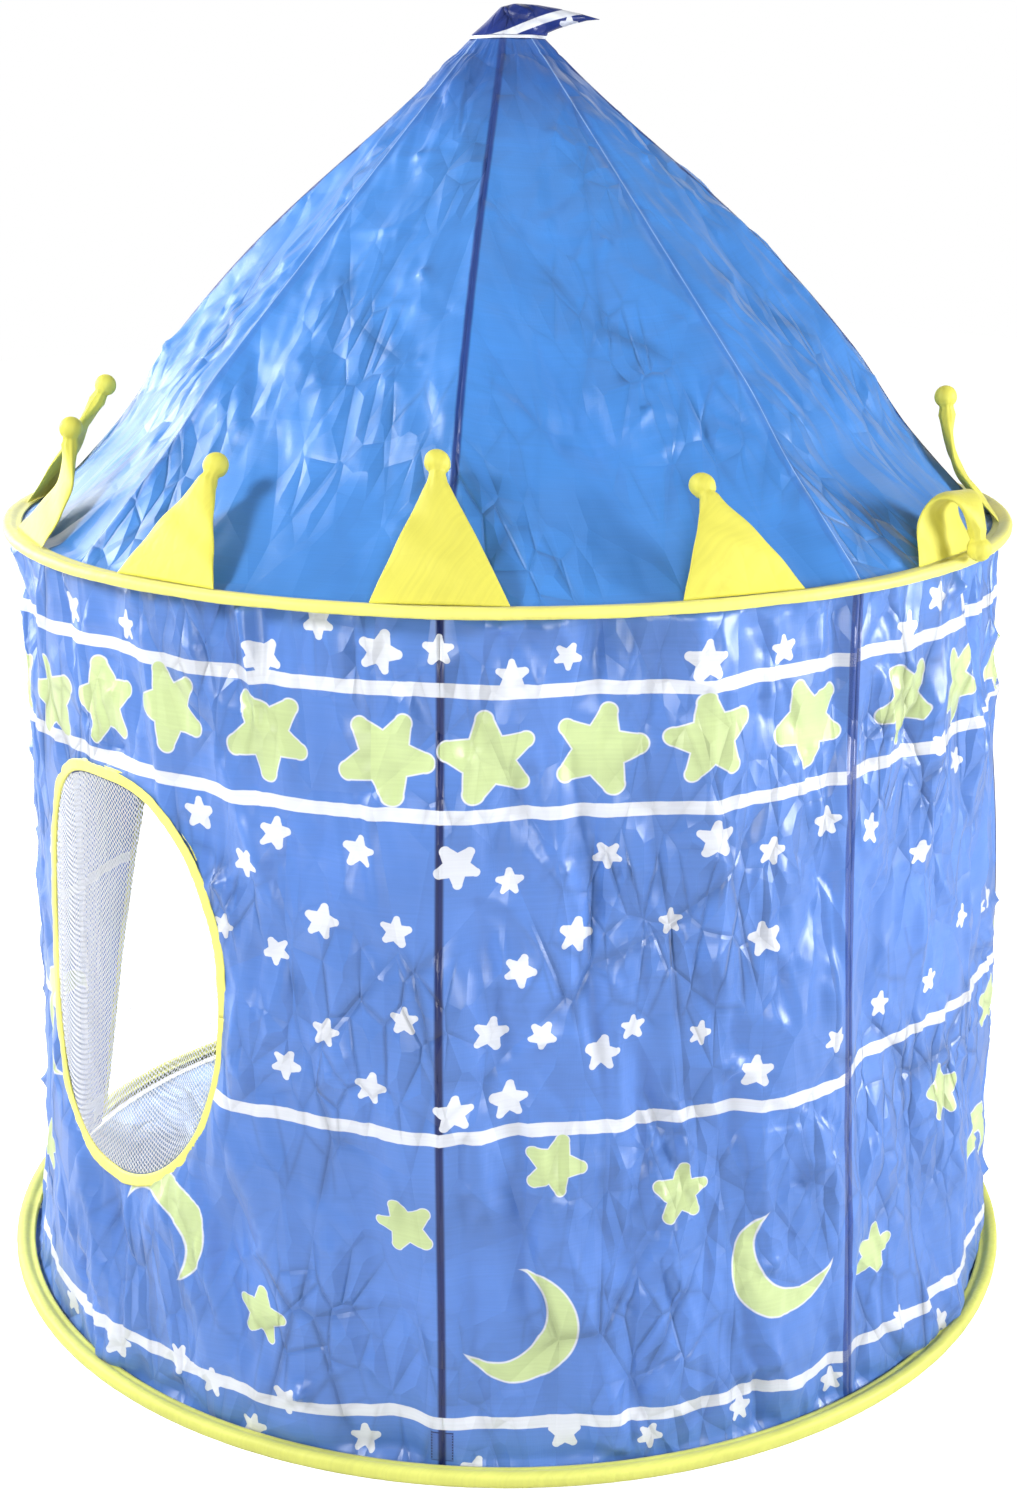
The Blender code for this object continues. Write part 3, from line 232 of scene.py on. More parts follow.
    def calm(self, azimuth: Array, height: Array) -> Array:
        """0 at rods and bound openings, 1 on the free cloth between them."""
        radius = self.smooth_radius(height)
        run = self.rod_run(azimuth, radius)
        share = 1.0 - np.exp(-((run / self.fold_calm_width) ** 2))
        door = np.hypot(
            np.radians(self.turn_from(azimuth, 0.0)) * radius
            / (self.door_half_width + self.opening_calm_width),
            height / (self.door_height + self.opening_calm_width),
        )
        share = share * ease((door - 1.0) * self.door_half_width / self.fold_calm_width)
        window = np.hypot(
            np.radians(self.turn_from(azimuth, self.window_azimuth)) * radius
            / (self.window_half_width + self.opening_calm_width),
            (height - self.window_height) / (self.window_half_height + self.opening_calm_width),
        )
        return share * ease((window - 1.0) * self.window_half_width / self.fold_calm_width)

    def wall_radius(self, azimuth: Array, height: Array) -> Array:
        """Radius of the wall's outer face with its rod ridges and long folds."""
        smooth = self.smooth_radius(height)
        run = self.rod_run(azimuth, smooth)
        proud = np.maximum(0.0, self.rod_radius(height) + self.rod_axis_depth - smooth)
        angle = np.radians(azimuth)
        rise = height / self.eave_height
        folds = sum(
            share * np.cos(count * angle + twist * rise + phase)
            for count, twist, phase, share in self.wall_folds
        )
        swell = np.sin(math.pi * np.clip(rise, 0.0, 1.0))
        depth = self.fold_depth * swell * self.calm(azimuth, height)
        return smooth + proud * np.exp(-run / self.ridge_width) + depth * folds

    def cone_point(self, azimuth: Array, share: Array, lift: Array) -> Array:
        """Points a share of the way up the cone, moved out along its normal."""
        along = self.roof_foot_radius * (1.0 - share) + lift * math.sin(self.slope)
        rise = self.roof_foot_height + (self.apex_height - self.roof_foot_height) * share
        return place(along, azimuth, rise + lift * math.cos(self.slope))

    def roof_bow(self, share: Array) -> Array:
        """Outward bow of the roof over its rods."""
        run = share * self.slant - self.corner_run
        end = self.roof_rod_length - self.hub_socket_reach
        return self.bow(run, self.elbow_reach, end, self.roof_rod_bow)

    def roof_lift(self, azimuth: Array, share: Array) -> Array:
        """How far the roof stands off its plain cone: up over the rods, nearly flat between seams."""
        radius = self.roof_foot_radius * (1.0 - share)
        half = self.gore_turn / 2
        middle_turn = np.radians(np.mod(azimuth, self.gore_turn) - half)
        chord = radius * (1.0 - math.cos(math.radians(half)) / np.cos(middle_turn))
        swell = np.sin(math.pi * np.clip(share, 0.0, 1.0))
        flat = self.flat_share * np.clip(share / self.flat_start_share, 0.0, 1.0) ** 0.5 * swell**0.5
        near_rod = 1.0 - self.rod_turn(azimuth) / (self.rod_spacing / 2)
        return self.roof_bow(share) * near_rod - chord * flat / math.sin(self.slope)

    def door_distance(self, azimuth: Array, height: Array) -> Trio:
        """Distance outside the doorway's arch, and the way out as run and rise."""
        run = np.radians(self.turn_from(azimuth, 0.0)) * self.smooth_radius(height)
        slope = 2.0 * self.door_height * run / self.door_half_width**2
        length = np.hypot(slope, 1.0)
        excess = height - self.door_height * (1.0 - (run / self.door_half_width) ** 2)
        return excess / length, slope / length, 1.0 / length

    def window_power(self, across: Array, along: Array) -> Array:
        """How square the window's outline is in each of its quarters, 2 for a plain oval."""
        left = across < 0.0
        return np.where(
            along > 0.0, np.where(left, *self.window_upper_powers), np.where(left, *self.window_lower_powers)
        )

    def window_reach(self, across: Array, along: Array) -> Array:
        """Distance from the window's middle, 1 on its outline."""
        power = self.window_power(across, along)
        return np.maximum((np.abs(across) ** power + np.abs(along) ** power) ** (1.0 / power), 1e-6)

    def window_distance(self, azimuth: Array, height: Array) -> Trio:
        """Distance outside the window's outline, and the way out as run and rise."""
        run = np.radians(self.turn_from(azimuth, self.window_azimuth)) * self.smooth_radius(height)
        across = run / self.window_half_width
        along = (height - self.window_height) / self.window_half_height
        reach = self.window_reach(across, along)
        slope = self.window_power(across, along) - 1.0
        out_run = np.sign(across) * (np.abs(across) / reach) ** slope / self.window_half_width
        out_rise = np.sign(along) * (np.abs(along) / reach) ** slope / self.window_half_height
        length = np.hypot(out_run, out_rise)
        return (reach - 1.0) / length, out_run / length, out_rise / length


FORM = TentForm()


# Rounds that find where a ray meets the folded wall
ROUNDS = 6


@dataclass(frozen=True)
class PhotoView:
    """The photograph's camera, fitted to the bindings' ellipses and the cone's outline."""

    azimuth: float = 141.5
    distance: float = 2.2096
    height: float = 1.1976
    aside: float = 0.0033
    pitch: float = 0.2878
    focal_pixels: float = 2085.49
    centre_x: float = 504.04
    centre_y: float = 750.47
    width_pixels: float = 1017.0
    height_pixels: float = 1500.0
    sensor: float = 36.0

    def make_camera(self) -> Piece:
        """Make the scene's camera."""
        data = bpy.data.cameras.new("photo_camera")
        data.sensor_width = self.sensor
        data.lens = self.focal_pixels * self.sensor / self.height_pixels
        data.shift_x = (self.width_pixels / 2 - self.centre_x) / self.height_pixels
        data.shift_y = (self.centre_y - self.height_pixels / 2) / self.height_pixels
        camera = bpy.data.objects.new("photo_camera", data)
        bpy.context.scene.collection.objects.link(camera)
        turn = Matrix.Rotation(math.radians(self.azimuth), 4, "Z")
        camera.location = turn @ Vector((-self.aside, -self.distance, self.height))
        camera.rotation_euler = (math.pi / 2 - self.pitch, 0.0, math.radians(self.azimuth))
        bpy.context.scene.camera = camera
        return camera

    def on_wall(self, x: float, y: float) -> tuple[float, float]:
        """Azimuth and height of the place on the wall behind a pixel of the photograph."""
        across = (x - self.centre_x) / self.focal_pixels
        up = -(y - self.centre_y) / self.focal_pixels
        cosine, sine = math.cos(self.pitch), math.sin(self.pitch)
        ray = np.array((across, cosine + up * sine, up * cosine - sine))
        start = np.array((-self.aside, -self.distance, self.height))
        radius = FORM.wall_top_radius
        azimuth = height = 0.0
        for _ in range(ROUNDS):
            flat = ray[0] ** 2 + ray[1] ** 2
            half = start[0] * ray[0] + start[1] * ray[1]
            left = half * half - flat * (start[0] ** 2 + start[1] ** 2 - radius * radius)
            point = start + ray * (-half - math.sqrt(max(left, 0.0))) / flat
            azimuth = self.azimuth + math.degrees(math.atan2(point[0], -point[1]))
            height = float(point[2])
            radius = float(FORM.wall_radius(azimuth, height))
        return azimuth, height


VIEW = PhotoView()


# Cloth: creases and sheets

@dataclass
class CreaseField:
    """Sharp creases scattered over a flat cloth, alone and in stars.

    Each crease is a ridge or a valley with a sharp top and flanks that fade out, as in thin cloth
    that was folded up small and then hung.
    """

    width: float
    height: float
    seed: int
    singles: int = 60
    stars: int = 20
    depth: float = 0.0022
    lean: float = 90.0
    spread: float = 55.0
    single_lengths: tuple[float, float] = (0.03, 0.13)
    single_flanks: tuple[float, float] = (0.004, 0.012)
    arm_counts: tuple[int, int] = (3, 7)
    arm_lengths: tuple[float, float] = (0.025, 0.085)
    arm_flanks: tuple[float, float] = (0.004, 0.010)
    creases: list[tuple[float, ...]] = field(default_factory=list)

    def __post_init__(self) -> None:
        """Draw the creases."""
        draw = np.random.default_rng(self.seed)
        for _ in range(self.singles):
            heading = math.radians(self.lean + draw.normal() * self.spread)
            self.creases.append((
                draw.uniform(0.0, self.width),
                draw.uniform(0.0, self.height),
                heading,
                draw.uniform(*self.single_lengths),
                draw.uniform(*self.single_flanks),
                self.depth * draw.uniform(0.35, 1.0) * draw.choice((-1.0, 1.0)),
                0.0,
            ))
        for _ in range(self.stars):
            x = draw.uniform(0.0, self.width)
            y = draw.uniform(0.0, self.height)
            arms = int(draw.integers(*self.arm_counts))
            first = draw.uniform(0.0, 2.0 * math.pi)
            for arm in range(arms):
                self.creases.append((
                    x,
                    y,
                    first + 2.0 * math.pi * (arm + draw.uniform(-0.3, 0.3)) / arms,
                    draw.uniform(*self.arm_lengths),
                    draw.uniform(*self.arm_flanks),
                    self.depth * draw.uniform(0.5, 1.3) * draw.choice((-0.6, 1.0)),
                    1.0,
                ))

    def lift(self, across: Array, up: Array) -> Array:
        """Height of the creases at places on the flat cloth."""
        total = np.zeros_like(across)
        for x, y, heading, length, flank, depth, one_sided in self.creases:
            reach = length + 4.0 * flank
            near = (np.abs(across - x) < reach) & (np.abs(up - y) < reach)
            if not near.any():
                continue
            run = (across[near] - x) * math.cos(heading) + (up[near] - y) * math.sin(heading)
            off = (up[near] - y) * math.cos(heading) - (across[near] - x) * math.sin(heading)
            bend = off - 0.12 * length * np.sin(2.2 * run / length)
            share = np.clip(run / length, -1.0, 1.0)
            if one_sided:
                window = np.where(run > 0.0, 1.0 - share, np.exp(run / flank))
            else:
                window = (1.0 - share**2) ** 1.5
            total[near] += depth * window * np.exp(-np.abs(bend) / flank)
        return total


# Cells of the facets' table along each side before it repeats, and how far corners are moved
TABLE_CELLS = 61
JITTER = 0.33


def facets(across: Array, up: Array, seed: int) -> Array:
    """Random heights on a lattice of triangles, joined by flat facets.

    Args:
        across: Places across, in cells of the lattice.
        up: Places up, in cells of the lattice.
        seed: Seed for the heights.

    Returns:
        The height at each place, mostly between -2 and 2.
    """
    size = TABLE_CELLS
    draw = np.random.default_rng(seed)
    table = draw.normal(size=(size, size))
    leans = draw.random((size, size)) < 0.5
    column, row = np.floor(across).astype(int), np.floor(up).astype(int)
    x, y = across - column, up - row
    left, low = column % size, row % size
    right, high = (column + 1) % size, (row + 1) % size
    a, b, c, d = table[left, low], table[right, low], table[left, high], table[right, high]
    rising = np.where(x > y, a + x * (b - a) + y * (d - b), a + y * (c - a) + x * (d - c))
    near, far = a + x * (b - a) + y * (c - a), d + (1.0 - x) * (c - d) + (1.0 - y) * (b - d)
    falling = np.where(x + y < 1.0, near, far)
    return np.where(leans[left, low], rising, falling)


def crush(across: Array, up: Array, seed: int, layers: Sequence[Triple]) -> Array:
    """Flat facets and straight creases of thin cloth that was folded up small.

    Args:
        across: Places across the flat cloth in metres.
        up: Places up the flat cloth in metres.
        seed: Seed for the pattern.
        layers: Facets per metre across and up, and their depth in metres, from coarse to fine.

    Returns:
        The height at each place.
    """
    total = np.zeros_like(across)
    for index, (wide, tall, depth) in enumerate(layers):
        layer_seed = 1000 * seed + 10 * index
        y = up * tall + 7.0
        x = across * wide + 0.5 * y + 11.0
        x_moved = x + JITTER * facets(x, y, layer_seed + 1)
        y_moved = y + JITTER * facets(x, y, layer_seed + 2)
        patch = wave(across * 1.3 + 0.7 * up, layer_seed + 3, (2.0, 5.0))
        patch = patch * wave(up + 0.4 * across, layer_seed + 4, (2.0, 4.0))
        strength = 1.0 + min(1.0, 0.55 * index) * np.clip(2.2 * patch, -0.75, 1.0)
        total += depth * strength * facets(x_moved, y_moved, layer_seed)
    return total


@dataclass(frozen=True)
class Crumple:
    """How a cloth was folded up: its creases, alone and in stars, and its layers of facets."""

    depth: float
    counts: tuple[int, int, int, int]
    layers: tuple[Triple, ...]
    lean: float = 90.0
    shift: float = 0.0
    fine_share: float = 0.45
    fine_spread: float = 80.0

    def relief(self, width: float, height: float, seed: int) -> Surface:
        """Height at places across and up one flat piece of this cloth."""
        large = CreaseField(width, height, seed, *self.counts[:2], self.depth, lean=self.lean)
        fine_depth = self.depth * self.fine_share
        small = CreaseField(width, height, seed + 50, *self.counts[2:], fine_depth, spread=self.fine_spread)

        def lift(run: Array, rise: Array) -> Array:
            """Sum of the creases and the facets."""
            total = large.lift(run + self.shift, rise) + small.lift(run + self.shift, rise)
            return total + crush(run, rise, seed, self.layers)

        return lift


# Meshes

# Vertices nearer than this are joined
WELD = 1e-6


def aim(azimuth: float) -> Array:
    """Unit vector level with the ground that points at an azimuth."""
    return place(1.0, azimuth, 0.0)


@contextmanager
def reshaped(mesh: Mesh) -> Iterator[bmesh.types.BMesh]:
    """Lend a mesh to bmesh operators, and write the result back."""
    shape = bmesh.new()
    shape.from_mesh(mesh)
    yield shape
    shape.to_mesh(mesh)
    shape.free()


def new_object(mesh: Mesh) -> Piece:
    """Link a mesh as an object of the same name at the origin."""
    piece = bpy.data.objects.new(mesh.name, mesh)
    bpy.context.scene.collection.objects.link(piece)
    return piece


def new_sheet(mesh: Mesh, thickness: float) -> Piece:
    """Link a mesh as a sheet that has its thickness inwards from its outer face."""
    piece = new_object(mesh)
    wall = piece.modifiers.new("cloth", "SOLIDIFY")
    wall.thickness = thickness
    wall.offset = -1.0
    wall.use_even_offset = False
    return piece


def positions(mesh: Mesh) -> Array:
    """Every vertex's place, one per row."""
    flat = np.zeros(len(mesh.vertices) * 3)
    mesh.vertices.foreach_get("co", flat)
    return flat.reshape(-1, 3)


def move(mesh: Mesh, points: Array) -> None:
    """Put every vertex at its place."""
    mesh.vertices.foreach_set("co", points.astype(np.float32).ravel())
    mesh.update()


def flat_grid(name: str, columns: int, rows: int, size: float = 0.5) -> Mesh:
    """A flat square grid about the origin."""
    mesh = bpy.data.meshes.new(name)
    with reshaped(mesh) as shape:
        bmesh.ops.create_grid(shape, x_segments=columns, y_segments=rows, size=size)
    return mesh


def grid_mesh(
    name: str,
    columns: int,
    rows: int,
    surface: Surface,
    closed: bool = False,
    layout: Callable[[Array, Array], tuple[Array, Array]] | None = None,
) -> Mesh:
    """Bend a flat grid into a surface.

    Args:
        name: Name of the mesh.
        columns: Cells across.
        rows: Cells up.
        surface: Gives the points for shares across and up, from 0 to 1.
        closed: Join the edges that meet.
        layout: Gives the cloth's own flat coordinates in metres, for the UV map.

    Returns:
        The mesh, with faces out where across x up points out.
    """
    mesh = flat_grid(name, columns, rows)
    shares = positions(mesh) + 0.5
    across, up = shares[:, 0], shares[:, 1]
    write_uv(mesh, *((across, up) if layout is None else layout(across, up)))
    move(mesh, surface(across, up))
    if closed:
        with reshaped(mesh) as shape:
            bmesh.ops.remove_doubles(shape, verts=shape.verts, dist=WELD)
    mesh.shade_smooth()
    return mesh


def corner_vertices(mesh: Mesh) -> Array:
    """The vertex at each face corner."""
    corners = np.zeros(len(mesh.loops), dtype=np.int32)
    mesh.loops.foreach_get("vertex_index", corners)
    return corners


def write_uv(mesh: Mesh, u: Array, v: Array) -> None:
    """Write one UV map from values on the vertices."""
    corners = corner_vertices(mesh)
    layer = mesh.uv_layers.get("cloth") or mesh.uv_layers.new(name="cloth")
    layer.data.foreach_set("uv", np.stack((u[corners], v[corners]), -1).astype(np.float32).ravel())


def write_value(mesh: Mesh, name: str, values: Array) -> None:
    """Keep one value on each vertex."""
    kept = mesh.attributes.new(name, "FLOAT", "POINT")
    kept.data.foreach_set("value", values.astype(np.float32))


def write_motif(mesh: Mesh, values: Array) -> None:
    """Keep a motif's own coordinates and its kind on each face corner."""
    motif = mesh.attributes.new("motif", "FLOAT_VECTOR", "CORNER")
    motif.data.foreach_set("vector", values.astype(np.float32).ravel())


# Finishes

class Motif(Enum):
    """Kinds of printed motif."""

    WHITE_STAR = 1
    GREEN_STAR = 2
    MOON = 3


class Value:
    """A value in a material's nodes, which takes part in plain sums."""

    def __init__(self, graph: "Graph", socket: bpy.types.NodeSocket) -> None:
        """Keep the socket that carries it."""
        self.graph = graph
        self.socket = socket

    def __add__(self, other: object) -> "Value":
        """Sum."""
        return self.graph.math("ADD", self, other)

    def __sub__(self, other: object) -> "Value":
        """Difference."""
        return self.graph.math("SUBTRACT", self, other)

    def __rsub__(self, other: object) -> "Value":
        """Difference from a plain number."""
        return self.graph.math("SUBTRACT", other, self)

    def __mul__(self, other: object) -> "Value":
        """Product."""
        return self.graph.math("MULTIPLY", self, other)

    def __abs__(self) -> "Value":
        """Size without sign."""
        return self.graph.math("ABSOLUTE", self)

    def plus(self, factor: object, base: object) -> "Value":
        """This value times a factor, added to a base."""
        return self.graph.math("MULTIPLY_ADD", self, factor, base)

    def step(self, low: float, high: float) -> "Value":
        """Smooth step from 0 at low to 1 at high."""
        sockets = {"Value": self, "From Min": low, "From Max": high}
        return self.graph.node("MapRange", sockets, "Result", interpolation_type="SMOOTHSTEP")


class Graph:
    """One material's nodes, with short calls for the ones used here."""

    def __init__(self, name: str) -> None:
        """Start a material with its Principled shader."""
        self.material = bpy.data.materials.new(name)
        self.material.use_nodes = True
        self.nodes = self.material.node_tree.nodes
        self.links = self.material.node_tree.links
        self.shader = self.nodes["Principled BSDF"]
        self.output = self.nodes["Material Output"]

    def plug(self, value: object, socket: bpy.types.NodeSocket) -> None:
        """Link a value, or set a plain number, vector or colour."""
        if isinstance(value, Value):
            self.links.new(value.socket, socket)
        else:
            socket.default_value = value

    def set(self, **values: object) -> None:
        """Plug values into the shader's sockets, named with underscores for spaces."""
        for name, value in values.items():
            self.plug(value, self.shader.inputs[name.replace("_", " ")])

    def node(self, kind: str, sockets: dict, output: int | str = 0, **settings: object) -> Value:
        """Add a node with its settings, plug its sockets and give one of its outputs."""
        node = self.nodes.new(f"ShaderNode{kind}")
        for name, value in settings.items():
            setattr(node, name, value)
        for socket, value in sockets.items():
            self.plug(value, node.inputs[socket])
        return Value(self, node.outputs[output])

    def math(self, operation: str, *values: object, clamp: bool = False) -> Value:
        """A Math node."""
        return self.node("Math", dict(enumerate(values)), operation=operation, use_clamp=clamp)

    def root_sum(self, x: Value, y: Value) -> Value:
        """Length of a flat vector."""
        return self.math("SQRT", x * x + y * y)

    def mix(self, factor: object, first: object, second: object, blend: str = "MIX") -> Value:
        """Mix two colours."""
        first, second = ((*value, 1.0) if isinstance(value, tuple) else value for value in (first, second))
        return self.node("Mix", {0: factor, 6: first, 7: second}, 2, data_type="RGBA", blend_type=blend)

    def choose(self, factor: Value, first: Value, second: Value) -> Value:
        """Mix two numbers."""
        return self.node("Mix", {0: factor, 2: first, 3: second})

    def grey(self, light: Value) -> Value:
        """A grey as light as a value."""
        return self.node("CombineColor", {0: light, 1: light, 2: light})

    def split(self, vector: Value) -> tuple[Value, ...]:
        """The three parts of a vector."""
        node = self.nodes.new("ShaderNodeSeparateXYZ")
        self.plug(vector, node.inputs[0])
        return tuple(Value(self, socket) for socket in node.outputs)

    def uv(self) -> Value:
        """The cloth's own flat coordinates in metres."""
        return self.node("UVMap", {}, uv_map="cloth")

    def place(self) -> Value:
        """The object's coordinates in metres."""
        return self.node("TexCoord", {}, "Object")

    def attribute(self, name: str, output: str = "Fac") -> Value:
        """A value kept on the mesh."""
        return self.node("Attribute", {}, output, attribute_name=name)

    def stretch(self, vector: Value, scale: Triple, turn: float = 0.0) -> Value:
        """A vector turned about Z and scaled along each axis."""
        return self.node("Mapping", {"Vector": vector, "Scale": scale, "Rotation": (0.0, 0.0, turn)})

    def facets(self, vector: Value, flat: bool) -> Value:
        """Height of flat facets that meet in straight creases, about one facet in each unit."""
        settings = {"feature": "DISTANCE_TO_EDGE", "voronoi_dimensions": "2D" if flat else "3D"}
        return self.node("TexVoronoi", {"Vector": vector, "Scale": 1.0}, "Distance", **settings)

    def noise(self, vector: Value, scale: float = 1.0, detail: float = 2.0) -> Value:
        """Noise between about 0 and 1."""
        return self.node("TexNoise", {"Vector": vector, "Scale": scale, "Detail": detail}, "Fac")

    def bump(self, height: Value, distance: float, strength: float = 1.0, under: object = None) -> Value:
        """A bump on top of another."""
        sockets = {"Distance": distance, "Strength": strength, "Height": height}
        if under is not None:
            sockets["Normal"] = under
        return self.node("Bump", sockets)


@dataclass(frozen=True)
class Cloth:
    """Thin woven polyester: threads, small creases, satin gloss and some light through it; its colour carries
    painted shade in the creases and painted sheen.
    """

    name: str
    colour: Triple
    gloss: float = 0.38
    specular: float = 0.75
    sheen: float = 0.17
    sheen_roughness: float = 0.40
    see_through: float = 0.13
    thread: float = 0.00010
    thread_strength: float = 0.8
    weft_scale: Triple = (60.0, 900.0, 60.0)
    warp_scale: Triple = (900.0, 60.0, 60.0)
    streak_scale: Triple = (14.0, 420.0, 14.0)
    cloud_scale: float = 9.0
    facet: float = 0.021
    crease_depth: float = 1.3
    crease_shade: float = 0.26
    crease_reach: float = 0.030
    fine_reach_share: float = 2.2
    crinkle: float = 0.0095
    facet_scale: Triple = (13.0, 6.0, 13.0)
    crinkle_scale: Triple = (36.0, 17.0, 36.0)
    crinkle_turn: float = 0.35
    patch_scale: float = 6.0
    patch_step: tuple[float, float] = (0.42, 0.60)
    patch_shade: float = 0.5
    sharp_scale: float = 5.0
    sharp_step: tuple[float, float] = (0.50, 0.62)
    wide_step: tuple[float, float] = (0.0, 0.10)
    small_step: tuple[float, float] = (-0.06, 0.14)
    tone_and_sheen_light: tuple[float, float] = (0.50, 0.76)
    streak_light: tuple[float, float] = (0.16, 0.92)
    flat: bool = True

    def weave(self, graph: Graph) -> tuple[Value, Value]:
        """Normal with wide facets, patches of small ones and threads, and the painted shade that darkens the
        colour in creases.
        """
        spot = graph.uv() if self.flat else graph.place()
        wide = graph.facets(graph.stretch(spot, self.facet_scale), self.flat)
        small = graph.facets(graph.stretch(spot, self.crinkle_scale, self.crinkle_turn), self.flat)
        patch = graph.noise(spot, self.patch_scale, 1.0).step(*self.patch_step)
        sharp = graph.noise(spot, self.sharp_scale).step(*self.sharp_step)
        away = graph.math("MINIMUM", wide.step(*self.wide_step), small.step(*self.small_step))
        folded = graph.math("MAXIMUM", sharp, patch * self.patch_shade)
        # Painted shade: the colour is darkened along the creases where the cloth is sharply folded, and in
        # patches of small creases
        light = ((1.0 - away) * folded).plus(-self.crease_shade, 1.0)
        wide = self.deepen(graph, wide, self.crease_reach, sharp)
        small = self.deepen(graph, small, self.fine_reach_share * self.crease_reach, sharp)
        normal = graph.bump(wide, self.facet)
        normal = graph.bump(small * patch, self.crinkle, 1.0, normal)
        weft, warp = (graph.noise(graph.stretch(spot, scale)) for scale in (self.weft_scale, self.warp_scale))
        return graph.bump(weft + warp, self.thread, self.thread_strength, normal), light

    def deepen(self, graph: Graph, facet: Value, reach: float, sharp: Value) -> Value:
        """Make the creases between facets narrow and steep where the cloth is sharply folded."""
        return graph.math("MINIMUM", facet, reach).plus(sharp * self.crease_depth, facet)

    def tint(self, graph: Graph, colour: object, folds: Value) -> Value:
        """Colour with slight streaks of thread, clouds of uneven tone and painted sheen, and painted shade in
        the creases.
        """
        spot = graph.uv() if self.flat else graph.place()
        # Painted sheen: broad clouds of lighter and darker colour for the satin's sheen, over a slightly
        # uneven tone
        tone_and_sheen = graph.noise(spot, self.cloud_scale, 3.0)
        streaks = graph.noise(graph.stretch(spot, self.streak_scale))
        light = tone_and_sheen.plus(*self.tone_and_sheen_light) * folds * streaks.plus(*self.streak_light)
        return graph.mix(1.0, colour, graph.grey(light), "MULTIPLY")

    def paint(self, graph: Graph) -> object:
        """Colour before streaks."""
        return self.colour

    def make(self) -> Material:
        """Build the material."""
        graph = Graph(self.name)
        # folds carries the painted shade along the creases
        normal, folds = self.weave(graph)
        colour = self.tint(graph, self.paint(graph), folds)
        graph.set(
            Base_Color=colour, Normal=normal, Roughness=self.gloss, Specular_IOR_Level=self.specular,
            Sheen_Weight=self.sheen, Sheen_Roughness=self.sheen_roughness,
        )
        if self.see_through:
            through = graph.node("BsdfTranslucent", {"Color": colour, "Normal": normal})
            surface = Value(graph, graph.shader.outputs[0])
            blend = graph.node("MixShader", {0: self.see_through, 1: surface, 2: through})
            graph.plug(blend, graph.output.inputs["Surface"])
        graph.material.diffuse_color = (*self.colour, 1.0)
        return graph.material


@dataclass(frozen=True)
class RoddedCloth(Cloth):
    """Cloth with dark rods in dark sleeves behind it, whose shadows through the cloth are painted as soft
    dark strips.
    """

    shadow: Triple = (0.001, 0.012, 0.11)
    shadow_half_width: float = 0.0036
    shadow_blur: float = 0.0015

    def shade_rods(self, graph: Graph, colour: object) -> Value:
        """Paint the rods' shadow as a darker strip over them."""
        half, blur = self.shadow_half_width, self.shadow_blur
        # Painted shadow: the rod's shadow colour fades in over a narrow strip along each rod
        return graph.mix(graph.attribute("rod").step(half - blur, half + blur), self.shadow, colour)


@dataclass(frozen=True)
class RoofCloth(RoddedCloth):
    """Roof cloth: painted rod shadows and painted shade near the top, with a painted highlight along its
    plain seams.
    """

    seam_light: Triple = (0.36, 0.55, 0.90)
    seam_light_share: float = 0.75
    seam_shade: Triple = (0.045, 0.15, 0.50)
    seam_shade_share: float = 0.28
    seam_half_width: float = 0.0009
    allowance: float = 0.0075
    allowance_blur: float = 0.001
    top_shade: Triple = (0.006, 0.070, 0.36)
    top_start: float = 0.47
    top_full: float = 0.66
    top_share: float = 0.72

    def paint(self, graph: Graph) -> object:
        """Colour before streaks: ground with painted shade near the top, the doubled cloth beside each seam,
        a painted highlight on its edge, the rods' painted shadows.
        """
        _, rise, _ = graph.split(graph.uv())
        # Painted shade: the cloth darkens towards the top, above the stitched ring
        top = rise.step(self.top_start, self.top_full) * self.top_share
        ground = graph.mix(top, self.colour, self.top_shade)
        seam = graph.attribute("seam")
        doubled = 1.0 - seam.step(self.allowance - self.allowance_blur, self.allowance)
        colour = graph.mix(doubled * self.seam_shade_share, ground, self.seam_shade)
        # Painted highlight: a thin pale line along each plain seam's ridge
        edge = 1.0 - seam.step(self.seam_half_width * 0.5, self.seam_half_width)
        colour = graph.mix(edge * self.seam_light_share, colour, self.seam_light)
        return self.shade_rods(graph, colour)


